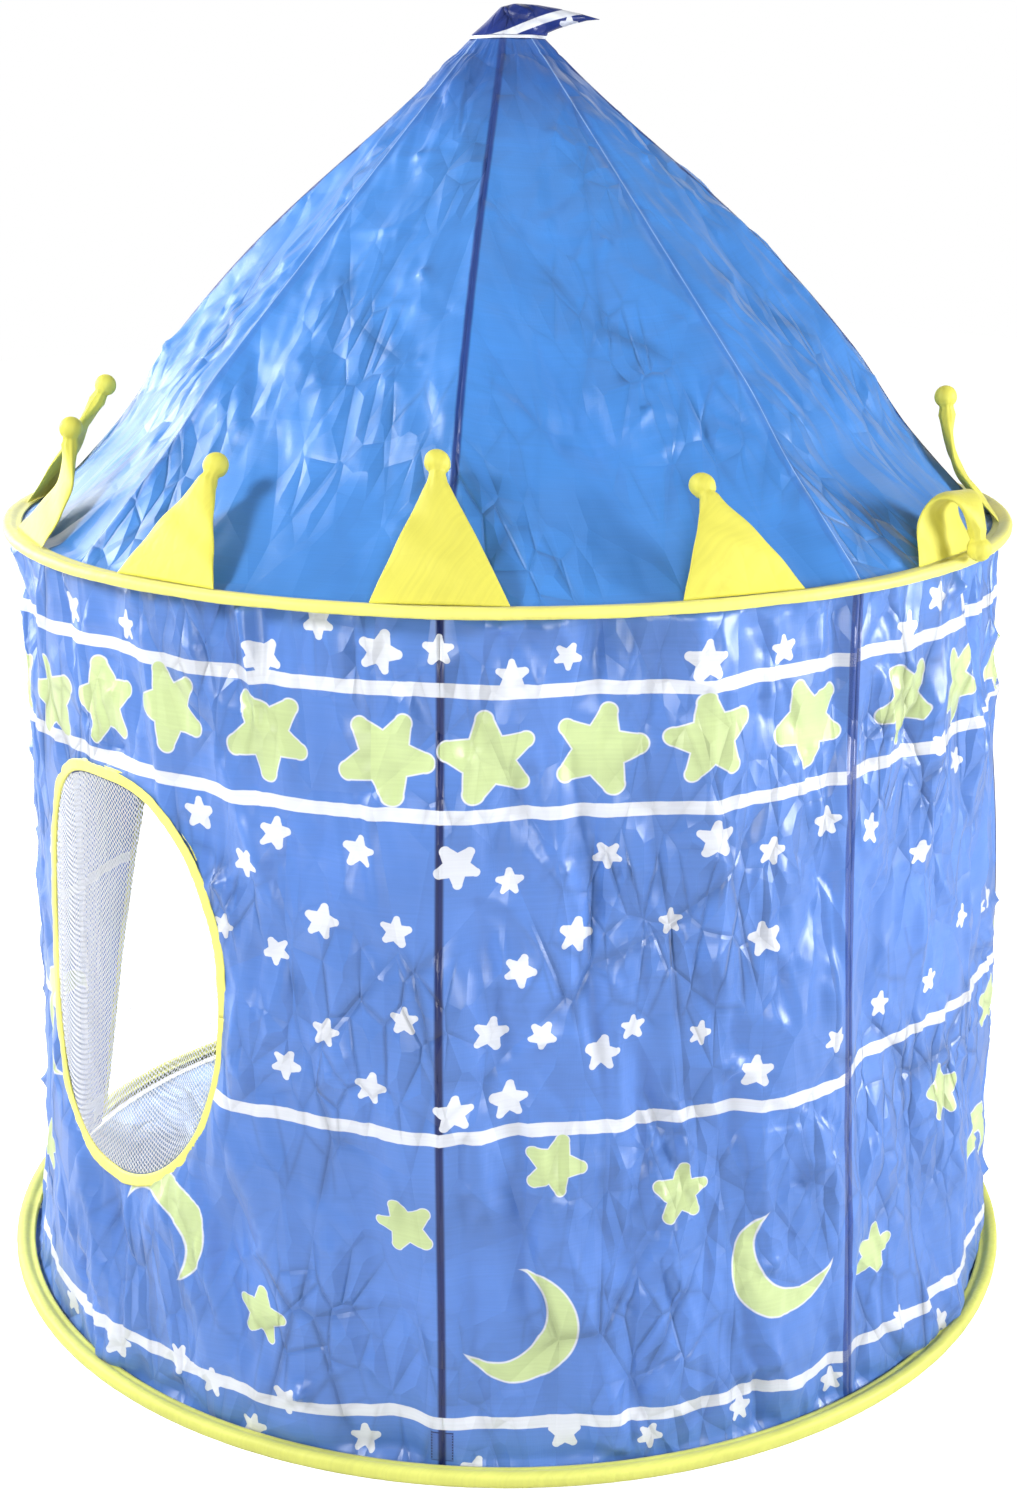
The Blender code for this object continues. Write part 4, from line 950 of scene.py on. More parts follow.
@dataclass(frozen=True)
class PrintedCloth(RoddedCloth):
    """Wall cloth printed with stripes, stars and moons, with stitched rod pockets at its foot."""

    white: Triple = (0.74, 0.77, 0.84)
    green: Triple = (0.58, 0.70, 0.33)
    stripe_heights: tuple[float, ...] = (0.745, 0.635, 0.341, 0.050)
    stripe_width: float = 0.0125
    stripe_blur: float = 0.0003
    stripe_wobble: float = 0.0024
    wobble_scale: Triple = (9.0, 3.0, 1.0)
    edge_share: float = 0.032
    edge_blur: float = 0.012
    arm_middle: float = 0.79
    arm_taper: float = 0.36
    arm_sway: float = 0.018
    star_sway: float = 0.10
    kind_turn: float = 97.0
    bite_offset: float = 0.46
    bite_radius: float = 0.86
    seam_run: float = math.pi * 0.503
    seam_half_width: float = 0.0065
    seam_blur: float = 0.0012
    pocket_half_width: float = 0.0110
    pocket_top: float = 0.042
    pocket_foot: float = 0.012
    pocket_share: float = 0.45
    stitch_inset: float = 0.0012
    stitch_half_width: float = 0.0006
    stitch_waves: float = 2200.0
    pocket_colour: Triple = (0.035, 0.075, 0.30)
    strip_colour: Triple = (0.004, 0.040, 0.26)

    def stripes(self, graph: Graph) -> Value:
        """1 on the printed stripes."""
        _, rise, _ = graph.split(graph.uv())
        wobble = graph.noise(graph.stretch(graph.uv(), self.wobble_scale))
        rise = rise + wobble.plus(self.stripe_wobble, -self.stripe_wobble / 2)
        nearest = abs(rise - self.stripe_heights[0])
        for height in self.stripe_heights[1:]:
            nearest = graph.math("MINIMUM", nearest, abs(rise - height))
        half = self.stripe_width / 2
        return 1.0 - nearest.step(half - self.stripe_blur, half + self.stripe_blur)

    def motifs(self, graph: Graph) -> tuple[Value, ...]:
        """Depth inside the nearest motif, as a share of its size, and its kind."""
        x, y, kind = graph.split(graph.attribute("motif", "Vector"))
        radius = graph.root_sum(x, y)
        angle = graph.math("ARCTAN2", x, y)
        uneven = graph.math("SINE", kind.plus(self.kind_turn, angle))
        turn = graph.math("PINGPONG", uneven.plus(self.star_sway, angle), math.pi / 5.0)
        along = radius * graph.math("COSINE", turn) - self.arm_middle
        past = graph.math("MAXIMUM", along, 0.0)
        short = graph.math("MAXIMUM", along * -1.0, 0.0)
        width = uneven.plus(self.arm_sway, short.plus(self.arm_taper, 1.0 - self.arm_middle))
        star = width - graph.root_sum(radius * graph.math("SINE", turn), past)
        bite = graph.root_sum(x - self.bite_offset, y)
        moon = graph.math("MINIMUM", 1.0 - radius, bite - self.bite_radius)
        is_moon, is_green, is_any = (
            graph.math("GREATER_THAN", kind, least.value - 0.25)
            for least in (Motif.MOON, Motif.GREEN_STAR, Motif.WHITE_STAR)
        )
        return graph.choose(is_moon, star, moon), is_green, is_any

    def paint(self, graph: Graph) -> object:
        """Ground with the pockets and the rods' painted shadows behind it, the print on it, and the sewn
        strip on top.
        """
        depth, is_green, is_any = self.motifs(graph)
        printed = depth.step(-self.edge_blur, self.edge_blur) * is_any
        inner = depth.step(self.edge_share - self.edge_blur, self.edge_share + self.edge_blur) * is_green
        ground = self.shade_rods(graph, self.pockets(graph))
        colour = graph.mix(graph.math("MAXIMUM", printed, self.stripes(graph)), ground, self.white)
        return self.overlock(graph, graph.mix(inner * is_any, colour, self.green))

    def overlock(self, graph: Graph, colour: Value) -> Value:
        """Dark dotted strip where the cloth's two ends are sewn together at the back."""
        run, _, _ = graph.split(graph.uv())
        off = abs(run - self.seam_run)
        strip = 1.0 - off.step(self.seam_half_width - self.seam_blur, self.seam_half_width)
        specks = graph.math("MULTIPLY_ADD", graph.noise(graph.uv(), 900.0, 1.0), 0.5, 0.62, clamp=True)
        return graph.mix(strip * specks, colour, self.strip_colour)

    def pockets(self, graph: Graph) -> Value:
        """Doubled cloth and its stitching where the rods' feet stand."""
        _, rise, _ = graph.split(graph.uv())
        middle = (self.pocket_top + self.pocket_foot) / 2
        half = (self.pocket_top - self.pocket_foot) / 2
        side = graph.attribute("rod") - self.pocket_half_width
        outside = graph.math("MAXIMUM", side, abs(rise - middle) - half)
        doubled = graph.math("LESS_THAN", outside, 0.0) * self.pocket_share
        colour = graph.mix(doubled, self.colour, self.pocket_colour)
        line = graph.math("LESS_THAN", abs(outside + self.stitch_inset), self.stitch_half_width)
        dash = graph.math("GREATER_THAN", graph.math("SINE", rise * self.stitch_waves), -0.4)
        return graph.mix(line * dash, colour, self.shadow)


@dataclass(frozen=True)
class Tape(Cloth):
    """Folded binding tape, almost smooth."""

    flat: bool = False
    see_through: float = 0.14
    facet: float = 0.0006
    crinkle: float = 0.0003
    facet_scale: Triple = (70.0, 70.0, 50.0)
    crinkle_scale: Triple = (160.0, 160.0, 120.0)


@dataclass(frozen=True)
class YellowTape(Tape):
    """Glossy binding tape in a yellow."""

    gloss: float = 0.5
    specular: float = 0.4
    thread: float = 0.00004
    crease_shade: float = 0.0


@dataclass(frozen=True)
class Plastic:
    """Moulded or drawn plastic with faint flow marks."""

    name: str
    colour: Triple
    gloss: float = 0.38
    relief: float = 0.00008

    def make(self) -> Material:
        """Build the material."""
        graph = Graph(self.name)
        marks = graph.noise(graph.place(), 260.0, 3.0)
        light = tuple(min(1.0, part * 1.5 + 0.004) for part in self.colour)
        graph.set(
            Base_Color=graph.mix(marks, self.colour, light), Roughness=marks.plus(0.18, self.gloss - 0.09),
            Normal=graph.bump(marks, self.relief),
        )
        return graph.material


@dataclass(frozen=True)
class SpringSteel:
    """Drawn spring wire."""

    name: str = "drawn_wire"
    colour: Triple = (0.42, 0.42, 0.44)
    scratched: Triple = (0.6, 0.6, 0.62)

    def make(self) -> Material:
        """Build the material."""
        graph = Graph(self.name)
        scratches = graph.noise(graph.stretch(graph.place(), (900.0, 900.0, 90.0)))
        colour = graph.mix(scratches, self.colour, self.scratched)
        graph.set(Base_Color=colour, Roughness=scratches.plus(0.2, 0.25), Metallic=1.0)
        return graph.material


@dataclass(frozen=True)
class NetThread:
    """White nylon thread."""

    name: str = "net_thread"
    colour: Triple = (0.86, 0.88, 0.92)

    def make(self) -> Material:
        """Build the material."""
        graph = Graph(self.name)
        twist = graph.noise(graph.place(), 900.0, 1.0)
        graph.set(Base_Color=(*self.colour, 1.0), Roughness=twist.plus(0.2, 0.4))
        return graph.material


class Wardrobe:
    """Every finish on the tent, made once."""

    def __init__(self) -> None:
        """Make the materials."""
        self.roof = RoofCloth(
            "roof_cloth", (0.050, 0.235, 0.66), see_through=0.10, shadow=(0.002, 0.040, 0.24), gloss=0.42,
            sheen=0.24, facet=0.009, crinkle=0.009,
        ).make()
        self.wall = PrintedCloth("wall_cloth", (0.092, 0.222, 0.62)).make()
        self.cap = PrintedCloth(
            "cap_cloth", (0.008, 0.028, 0.20), specular=0.5, sheen=0.04, see_through=0.05
        ).make()
        self.yellow = Cloth(
            "yellow_cloth", (0.77, 0.73, 0.115), flat=False, facet=0.0012, facet_scale=(45.0, 45.0, 30.0),
            crinkle=0.0006, crinkle_scale=(110.0, 110.0, 80.0), gloss=0.55, specular=0.35, see_through=0.18,
            thread=0.00004, crease_shade=0.0,
        ).make()
        self.yellow_tape = YellowTape("yellow_tape", (0.90, 0.86, 0.21)).make()
        self.base_tape = YellowTape("base_tape", (0.74, 0.76, 0.17)).make()
        self.floor = Cloth("floor_cloth", (0.36, 0.55, 0.90), flat=False).make()
        self.webbing = Tape("dark_webbing", (0.03, 0.06, 0.26)).make()
        self.net = NetThread().make()
        self.rod = Plastic("rod_plastic", (0.012, 0.013, 0.018)).make()
        self.moulding = Plastic("moulded_plastic", (0.010, 0.010, 0.012), gloss=0.45).make()
        self.wire = SpringSteel().make()


# Pieces

def dress(
    piece: Piece,
    material: Material,
    body: str,
    nodes: Iterable[str],
) -> Piece:
    """Give a piece its material, body and the nodes that it stands for."""
    piece.data.materials.clear()
    piece.data.materials.append(material)
    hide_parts(*nodes)
    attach(piece, body)
    return piece


@dataclass(frozen=True)
class PrintMark:
    """One motif of the wall's print, at a named place of the photograph.

    Attributes:
        kind: What is printed.
        x: Pixel across in the photograph.
        y: Pixel down in the photograph.
        size: Distance from its middle to its tips in metres.
        turn: Degrees that it is turned clockwise from upright.
    """

    kind: Motif
    x: float
    y: float
    size: float
    turn: float


LARGE_STAR = 0.044
MIDDLE_STAR = 0.030
SMALL_STAR = 0.0150
MOON = 0.056

# Pixels across and down in the photograph, then size and turn
LARGE_STARS_AT = (
    (34, 672, -10), (56, 698, -12), (100, 702, -15), (167, 707, -25), (267, 733, 180), (385, 757, 172),
    (488, 757, -10), (600, 752, 15), (710, 736, -8), (812, 722, -28), (906, 704, 186), (956, 686, 180),
    (986, 660, 176),
)
MIDDLE_STARS_AT = (
    (265, 1312, 150), (405, 1227, -20), (555, 1165, 20), (683, 1195, 4), (876, 1256, 10), (943, 1095, 0),
    (988, 1003, 5), (52, 1140, 12),
)
MOONS_AT = ((165, 1222, 128), (518, 1330, 212), (786, 1262, -48), (975, 1155, 100), (60, 1020, 10))
SMALL_STARS_AT = (
    (73, 608, -20, 1.10), (122, 626, -5, 1.00), (262, 657, 180, 1.25), (318, 622, 180, 1),
    (380, 652, 18, 1.35), (438, 650, 0, 0.95), (512, 675, 0, 1), (568, 656, 30, 0.85),
    (701, 657, 0, 1.30), (785, 650, -6, 0.95), (905, 634, 10, 1.25), (934, 600, 20, 1),
    (965, 598, 0, 1.2), (277, 832, 10, 1), (250, 860, 30, 1), (358, 852, 5, 1.05), (457, 866, 180, 1.4),
    (510, 882, 0, 0.85), (610, 858, 36, 0.9), (714, 838, 0, 1.25), (773, 852, 12, 0.95), (831, 823, 0, 1),
    (872, 833, 20, 1), (915, 855, 0, 0.9), (322, 921, 12, 1.1), (280, 948, 40, 0.9), (396, 931, 8, 1),
    (577, 937, 15, 1.1), (675, 925, 0, 0.8), (765, 939, -10, 1.15), (520, 970, 25, 1),
    (327, 1030, 10, 0.9), (404, 1021, 0, 0.9), (289, 1062, 30, 1), (370, 1089, 12, 1),
    (453, 1115, 0, 1.2), (490, 1037, 14, 1.1), (542, 1034, 36, 0.9), (603, 1055, 8, 1.15),
    (636, 1032, 0, 0.85), (703, 1036, 20, 0.8), (509, 1102, 0, 1.2), (755, 1071, 5, 1.1),
    (833, 1038, 30, 0.9), (75, 1300, 0, 1), (122, 1340, 10, 1.1), (180, 1357, 22, 1), (215, 1380, 0, 1),
    (290, 1395, 30, 1.1), (255, 1425, 10, 1), (363, 1443, 0, 1), (475, 1472, 14, 1), (565, 1437, 0, 1.1),
    (650, 1436, 30, 0.85), (743, 1410, 6, 0.9), (835, 1382, 0, 0.9), (898, 1320, 20, 0.8),
    (934, 1322, 0, 0.9), (887, 1010, 10, 0.9), (932, 985, 0, 0.9), (985, 900, 8, 0.9),
    (962, 920, 25, 0.9), (930, 745, 10, 0.9), (960, 765, 30, 0.9), (30, 800, 0, 0.9), (52, 846, 20, 0.9),
    (195, 815, 0, 1.1), (225, 925, 15, 0.8), (40, 905, 20, 0.9),
)
REPEAT_START = 66.0
REPEAT_TURN = 150.0

# Marks differ a little in outline: this many outlines, told apart by a small step in a mark's kind
OUTLINES = 10
OUTLINE_STEP = 0.02


class WallPrint:
    """The print on the wall: every motif's azimuth, height, size, turn and kind."""

    def __init__(self) -> None:
        """Find the motifs' places on the wall and repeat them round the tent."""
        marks = [PrintMark(Motif.GREEN_STAR, x, y, LARGE_STAR, turn) for x, y, turn in LARGE_STARS_AT]
        marks += [PrintMark(Motif.GREEN_STAR, x, y, MIDDLE_STAR, turn) for x, y, turn in MIDDLE_STARS_AT]
        marks += [PrintMark(Motif.MOON, x, y, MOON, turn) for x, y, turn in MOONS_AT]
        marks += [
            PrintMark(Motif.WHITE_STAR, x, y, SMALL_STAR * share, turn)
            for x, y, turn, share in SMALL_STARS_AT
        ]
        rows = []
        for index, mark in enumerate(marks):
            azimuth, height = VIEW.on_wall(mark.x, mark.y)
            kind = mark.kind.value + OUTLINE_STEP * (index % OUTLINES)
            for repeat in (-1, 0, 1, 2):
                turned = azimuth + repeat * REPEAT_TURN
                if REPEAT_START <= turned < REPEAT_START + 360.0:
                    rows.append((turned, height, mark.size, math.radians(mark.turn), kind))
        self.rows = np.array(rows)

    def write(self, mesh: Mesh, azimuth: Array, height: Array) -> None:
        """Keep the nearest motif's own coordinates on every face corner.

        Args:
            mesh: The wall panel.
            azimuth: Azimuth of each vertex.
            height: Height of each vertex.
        """
        corners = corner_vertices(mesh)
        counts = np.zeros(len(mesh.polygons), dtype=np.int32)
        mesh.polygons.foreach_get("loop_total", counts)
        face_of = np.repeat(np.arange(len(counts)), counts)
        radius = FORM.smooth_radius(height)
        middle_azimuth = np.bincount(face_of, azimuth[corners]) / counts
        middle_height = np.bincount(face_of, height[corners]) / counts
        middle_radius = FORM.smooth_radius(middle_height)
        best = np.full(len(counts), np.inf)
        nearest = np.zeros(len(counts), dtype=int)
        for index, (turned, level, size, _, _) in enumerate(self.rows):
            run = np.radians(FORM.turn_from(middle_azimuth, turned)) * middle_radius
            reach = np.hypot(run, middle_height - level) / size
            closer = reach < best
            best[closer] = reach[closer]
            nearest[closer] = index
        row = self.rows[nearest[face_of]]
        run = np.radians(FORM.turn_from(azimuth[corners], 0.0) - FORM.turn_from(row[:, 0], 0.0))
        run = (np.mod(run + math.pi, 2.0 * math.pi) - math.pi) * radius[corners] / row[:, 2]
        rise = (height[corners] - row[:, 1]) / row[:, 2]
        cosine, sine = np.cos(row[:, 3]), np.sin(row[:, 3])
        values = np.stack((run * cosine - rise * sine, run * sine + rise * cosine, row[:, 4]), -1)
        write_motif(mesh, values)


@dataclass
class WallPanels:
    """The five printed wall panels."""

    step: float = 0.0042
    thickness: float = 0.0005
    edge_offset: float = 0.006
    foot_height: float = 0.0023
    flange: float = 0.0085
    crumple: Crumple = Crumple(
        0.0036, (70, 34, 150, 70), ((12.0, 2.3, 0.0060), (25.0, 5.5, 0.0046), (50.0, 18.0, 0.0020))
    )
    top_pucker: float = 0.0020
    top_reach: float = 0.07
    foot_pucker: float = 0.0016
    foot_reach: float = 0.05
    hang: float = 0.0030
    rod_calm: float = 0.022
    seam_calm: float = 0.014
    top_calm: float = 0.010
    foot_calm: float = 0.012
    opening_calm: float = 0.030
    seam_slip: float = -0.004
    panels: tuple[tuple[str, float, float, int], ...] = (
        ("wall_front", -45.0, 45.0, 11),
        ("wall_window", 45.0, 135.0, 12),
        ("wall_back_a", 135.0, 180.0, 13),
        ("wall_back_b", 180.0, 225.0, 14),
        ("wall_side", 225.0, 315.0, 15),
    )

    def relief(self, azimuth: Array, height: Array, start: float, seed: int) -> Array:
        """Folds and creases finer than the frame's, outwards from its surface."""
        run = np.radians(azimuth - start) * FORM.wall_top_radius
        width = float(run.max())
        total = self.crumple.relief(width, FORM.eave_height, seed)(run, height)
        top = np.exp(-(FORM.eave_height - height) / self.top_reach)
        foot = np.exp(-height / self.foot_reach)
        pucker = wave(run, seed + 7, (14.0, 23.0, 37.0)) * self.top_pucker * top
        pucker += wave(run, seed + 8, (11.0, 19.0, 31.0)) * self.foot_pucker * foot
        hang = wave(run + 0.05 * np.sin(5.0 * height + seed), seed + 9, (4.0, 7.0, 12.0)) * self.hang
        rod_run = FORM.rod_run(azimuth, FORM.smooth_radius(height))
        free = 1.0 - np.exp(-((rod_run / self.rod_calm) ** 2))
        free *= 1.0 - np.exp(-((np.minimum(run, width - run) / self.seam_calm) ** 2))
        hem = ease((FORM.eave_height - height) / self.top_calm)
        hem = hem * ease((height - self.foot_height) / self.foot_calm)
        door = ease(FORM.door_distance(azimuth, height)[0] / self.opening_calm)
        window = ease(FORM.window_distance(azimuth, height)[0] / self.opening_calm)
        return (total + pucker + hang) * free * hem * np.minimum(door, window)

    def build(self, name: str, start: float, end: float, seed: int, pattern: WallPrint) -> Piece:
        """Build one panel, cut out round its opening."""
        columns = round(math.radians(end - start) * FORM.wall_base_radius / self.step)
        rows = round(FORM.eave_height / self.step)
        top = FORM.eave_height - FORM.gap / 2 - FORM.cloth
        low, tall = self.foot_height - self.flange, top - self.foot_height + 2.0 * self.flange
        distance = {"wall_front": FORM.door_distance, "wall_window": FORM.window_distance}.get(name)
        mesh = flat_grid(f"{name}_cloth", columns, rows)
        with reshaped(mesh) as shape:
            for vertex in shape.verts:
                vertex.co.x = start + (end - start) * (vertex.co.x + 0.5)
                vertex.co.y = low + tall * (vertex.co.y + 0.5)
            if distance is not None:
                middles = np.array([face.calc_center_median()[:2] for face in shape.faces])
                inside = distance(middles[:, 0], middles[:, 1])[0] < self.edge_offset
                doomed = [face for face, out in zip(shape.faces, inside) if out]
                bmesh.ops.delete(shape, geom=doomed, context="FACES")
        points = positions(mesh)
        azimuth, level = points[:, 0].copy(), points[:, 1].copy()
        if distance is not None:
            off, out_run, out_rise = distance(azimuth, level)
            short = np.maximum(0.0, self.edge_offset - off)
            azimuth += np.degrees(out_run * short / FORM.smooth_radius(level))
            level += out_rise * short
        height = np.clip(level, self.foot_height, top)
        run = np.radians(azimuth) * FORM.wall_top_radius
        slip = self.seam_slip if name == "wall_back_b" else 0.0
        write_uv(mesh, run, height + slip)
        pattern.write(mesh, azimuth, height + slip)
        write_value(mesh, "rod", FORM.rod_run(azimuth, FORM.smooth_radius(height)))
        radius = FORM.wall_radius(azimuth, height) + self.relief(azimuth, height, start, seed)
        radius += np.abs(level - height)
        move(mesh, place(radius, azimuth, height))
        mesh.shade_smooth()
        return new_sheet(mesh, self.thickness)

    def make(self, wardrobe: Wardrobe, pattern: WallPrint) -> dict[str, Piece]:
        """Build and dress all panels."""
        made = {}
        for name, start, end, seed in self.panels:
            panel = self.build(name, start, end, seed, pattern)
            made[name] = dress(panel, wardrobe.wall, TENT, [name])
            log.info("wall panel %s: %d faces", name, len(panel.data.polygons))
        return made


@dataclass
class Roof:
    """Eight gores of the cone roof."""

    columns: int = 84
    rows: int = 150
    thickness: float = 0.0005
    top_radius: float = 0.0310
    crumple: Crumple = Crumple(
        0.0030, (46, 20, 90, 45), ((9.0, 3.0, 0.0042), (20.0, 7.0, 0.0032), (44.0, 18.0, 0.0016)),
        lean=80.0, shift=0.2,
    )
    crumple_width: float = 0.40
    flange: float = 0.0085
    full_start: float = 0.17
    full_reach: float = 0.15
    calm_share: float = 0.19
    calm_reach: float = 0.07
    calm_left: float = 0.30
    calm_dip: float = 0.0022
    pucker: float = 0.0012
    pucker_reach: float = 0.018
    pucker_calm: float = 0.004
    hang: float = 0.0022
    seam_calm: float = 0.012
    foot_calm: float = 0.02
    top_calm: float = 0.06
    ring_calm: float = 0.012
    seam_ring_share: float = 0.905
    ring_pinch: float = 0.0011
    ring_half_share: float = 0.0035
    ring_pucker: float = 0.0012
    ring_reach: float = 0.018
    seam_ridge: float = 0.0014
    ridge_width: float = 0.0016

    def fuller(self, share: Array) -> Array:
        """How far the loose cloth stands off the frame's roof, above the crown points' reach."""
        return FORM.roof_fullness * ease((share - self.full_start) / self.full_reach)

    def seam_ring(self, share: Array, azimuth: Array) -> Array:
        """Pinched stitching round the top, with puckers under it."""
        off = share - self.seam_ring_share
        pinch = -self.ring_pinch * np.exp(-((off / self.ring_half_share) ** 2))
        run = np.radians(azimuth) * FORM.roof_foot_radius * 0.1
        puckers = self.ring_pucker * wave(run, 91, (90.0, 160.0, 260.0))
        return pinch + puckers * np.exp(-np.abs(off) / self.ring_reach)

    def build(self, index: int) -> Piece:
        """Build one gore."""
        turn = FORM.gore_turn
        start, end = (index - 1) * turn, index * turn
        top_share = 1.0 - self.top_radius / FORM.roof_foot_radius
        seed = 200 + index

        def layout(across: Array, up: Array) -> tuple[Array, Array]:
            """Flat coordinates of the gore as it is cut."""
            share = up * top_share
            width = math.radians(turn) * FORM.roof_foot_radius * (1.0 - share)
            return (across - 0.5) * width, share * FORM.slant

        relief = self.crumple.relief(self.crumple_width, FORM.slant, seed)

        def surface(across: Array, up: Array) -> Array:
            """Outer face of the gore, with a level flange at its foot."""
            flange_share = self.flange / FORM.slant
            reach = up * (top_share + flange_share) - flange_share
            share = np.maximum(reach, 0.0)
            azimuth = start + (end - start) * across
            run, rise = layout(across, up)
            lift = FORM.roof_lift(azimuth, share)
            radius = FORM.roof_foot_radius * (1.0 - share)
            seam_run = np.minimum(across, 1.0 - across) * math.radians(turn) * radius
            pucker = wave(rise, seed + 5, (21.0, 34.0, 55.0)) * self.pucker
            pucker = pucker * np.exp(-seam_run / self.pucker_reach)
            hang = wave(run * 6.0 + 0.4 * rise, seed + 6, (0.8, 1.7, 3.1)) * self.hang
            free = 1.0 - np.exp(-((seam_run / self.seam_calm) ** 2))
            hem = ease(share / self.foot_calm) * ease((top_share - share) / self.top_calm)
            ridge = self.seam_ridge * np.exp(-FORM.rod_run(azimuth + turn, radius) / self.ridge_width)
            above = ease((share - self.calm_share) / self.calm_reach)
            loose = (relief(run, rise) + hang) * (self.calm_left + (1.0 - self.calm_left) * above)
            loose = loose - self.calm_dip * (1.0 - above)
            fine = (loose * free + pucker * ease(seam_run / self.pucker_calm) + ridge) * hem
            fine += self.seam_ring(share, azimuth) * ease((top_share - share) / self.ring_calm)
            points = FORM.cone_point(azimuth, share, lift + self.fuller(share) + fine)
            return points + place((share - reach) * FORM.slant, azimuth, np.zeros_like(share))

        mesh = grid_mesh(f"roof_cloth_{index}", self.columns, self.rows, surface, layout=layout)
        points = positions(mesh)
        azimuth = np.degrees(np.arctan2(points[:, 0], -points[:, 1]))
        radius = np.hypot(points[:, 0], points[:, 1])
        write_value(mesh, "rod", FORM.rod_run(azimuth, radius))
        write_value(mesh, "seam", FORM.rod_run(azimuth + turn, radius))
        return new_sheet(mesh, self.thickness)

    def make(self, wardrobe: Wardrobe) -> list[Piece]:
        """Build and dress the eight gores."""
        made = [
            dress(self.build(index), wardrobe.roof, TENT, [f"roof_gore_{index}"])
            for index in range(1, 9)
        ]
        log.info("roof: %d gores", len(made))
        return made


@dataclass
class RingTape:
    """A binding tape folded round the seam and the wire hoop, with puckers along it."""

    name: str
    node: str
    slot: str
    hoop: str
    level: float
    mouth_radius: float
    outer_radius: float
    half_height: float
    lip: float
    standing: bool = False
    steps: int = 900
    section_steps: int = 22
    thickness: float = 0.0007
    pucker: float = 0.0007
    lap: float = 0.0065
    bevel: float = 0.0030
    shoulder: float = 0.0022
    side_dip: float = 0.0004
    seed: int = 31

    def section(self, share: Array) -> tuple[Array, Array]:
        """Radius and height along the tape's outside, from upper lip round to lower lip."""
        flat_end = self.mouth_radius + self.lap
        middle = flat_end + self.bevel
        upper = [
            (self.mouth_radius, self.lip),
            (flat_end, self.lip),
            (middle, self.half_height * 0.8),
            (middle + self.bevel, self.half_height),
            (self.outer_radius - self.shoulder, self.half_height * 0.97),
            (self.outer_radius - self.side_dip, self.half_height * 0.62),
        ]
        lower = [(radius, -height) for radius, height in reversed(upper)]
        corners = np.array([*upper, (self.outer_radius, 0.0), *lower])
        lengths = np.concatenate(([0.0], np.cumsum(np.hypot(*np.diff(corners, axis=0).T))))
        along = share * lengths[-1]
        return np.interp(along, lengths, corners[:, 0]), np.interp(along, lengths, corners[:, 1])

    def surface(self, across: Array, up: Array) -> Array:
        """The tape's outer face: across goes round the section, up goes round the tent."""
        radius, height = self.section(1.0 - across)
        azimuth = up * 360.0
        run = np.radians(azimuth) * self.outer_radius
        loose = np.sin(math.pi * across) ** 0.7
        puff = wave(run, self.seed, (9.0, 31.0, 67.0, 113.0)) * self.pucker
        sway = wave(run, self.seed + 1, (2.0, 5.0, 11.0)) * self.pucker
        below = np.where(height < 0.0, -1.0, 1.0)
        lift = puff * below * loose * 0.5 + sway * loose
        if self.standing:
            lift = np.where(height < 0.0, 0.0, np.maximum(lift, 0.0))
        return place(radius - np.abs(puff) * loose * 0.6, azimuth, self.level + height + lift)

    def make(self, material: Material) -> Piece:
        """Build and dress the tape."""
        mesh = grid_mesh(self.name, self.section_steps, self.steps, self.surface, closed=True)
        tape = new_sheet(mesh, self.thickness)
        log.info("%s: %d faces", self.name, len(mesh.polygons))
        dress(tape, material, TENT, [self.node])
        radius, height = self.section(np.linspace(0.0, 1.0, 60))
        return tape


@dataclass
class EdgeTape:
    """Tape that wraps the cut edge of the doorway or the window."""

    name: str
    node: str
    distance: Callable[[Array, Array], Trio]
    path: Callable[[Array], tuple[Array, Array]]
    closed: bool
    steps: int
    lap: float = 0.012
    half_depth: float = 0.0021
    thickness: float = 0.0007
    section_steps: int = 12
    bend_share: float = 0.22
    arc_step: float = 0.004
    wobble: float = 0.0008
    swell: float = 0.25
    seed: int = 61

    def surface(self, across: Array, up: Array) -> Array:
        """Outer face of the tape: across goes round its C section, up along the edge."""
        azimuth, height = self.path(up)
        _, out_run, out_rise = self.distance(azimuth, height)
        turn = (across - 0.5) * 2.0
        side = np.sign(turn)
        bend = np.minimum(1.0, np.abs(turn) / self.bend_share)
        depth = side * np.sin(bend * math.pi / 2) * self.half_depth
        round_share = (1.0 - np.cos(bend * math.pi / 2)) * self.half_depth
        past = np.maximum(0.0, np.abs(turn) - self.bend_share) / (1.0 - self.bend_share)
        lap = round_share + past * (self.lap - self.half_depth)
        run = up * self.steps * self.arc_step
        lap = lap + wave(run, self.seed, (13.0, 29.0, 61.0)) * self.wobble * bend
        depth = depth * (1.0 + self.swell * wave(run, self.seed + 1, (17.0, 41.0, 83.0)) * np.abs(turn))
        moved = azimuth + np.degrees(out_run * lap / FORM.smooth_radius(height))
        level = height + out_rise * lap
        radius = FORM.wall_radius(moved, np.maximum(level, 0.0)) - FORM.cloth / 2
        radius = radius + wave(run, self.seed + 2, (5.0, 11.0)) * self.wobble * (1.0 - np.abs(turn) * 0.7)
        return place(radius + depth, moved, level)

    def make(self, material: Material) -> Piece:
        """Build and dress the tape."""
        mesh = grid_mesh(self.name, self.section_steps, self.steps, self.surface, closed=self.closed)
        tape = new_sheet(mesh, self.thickness)
        log.info("%s: %d faces", self.name, len(mesh.polygons))
        return dress(tape, material, TENT, [self.node])


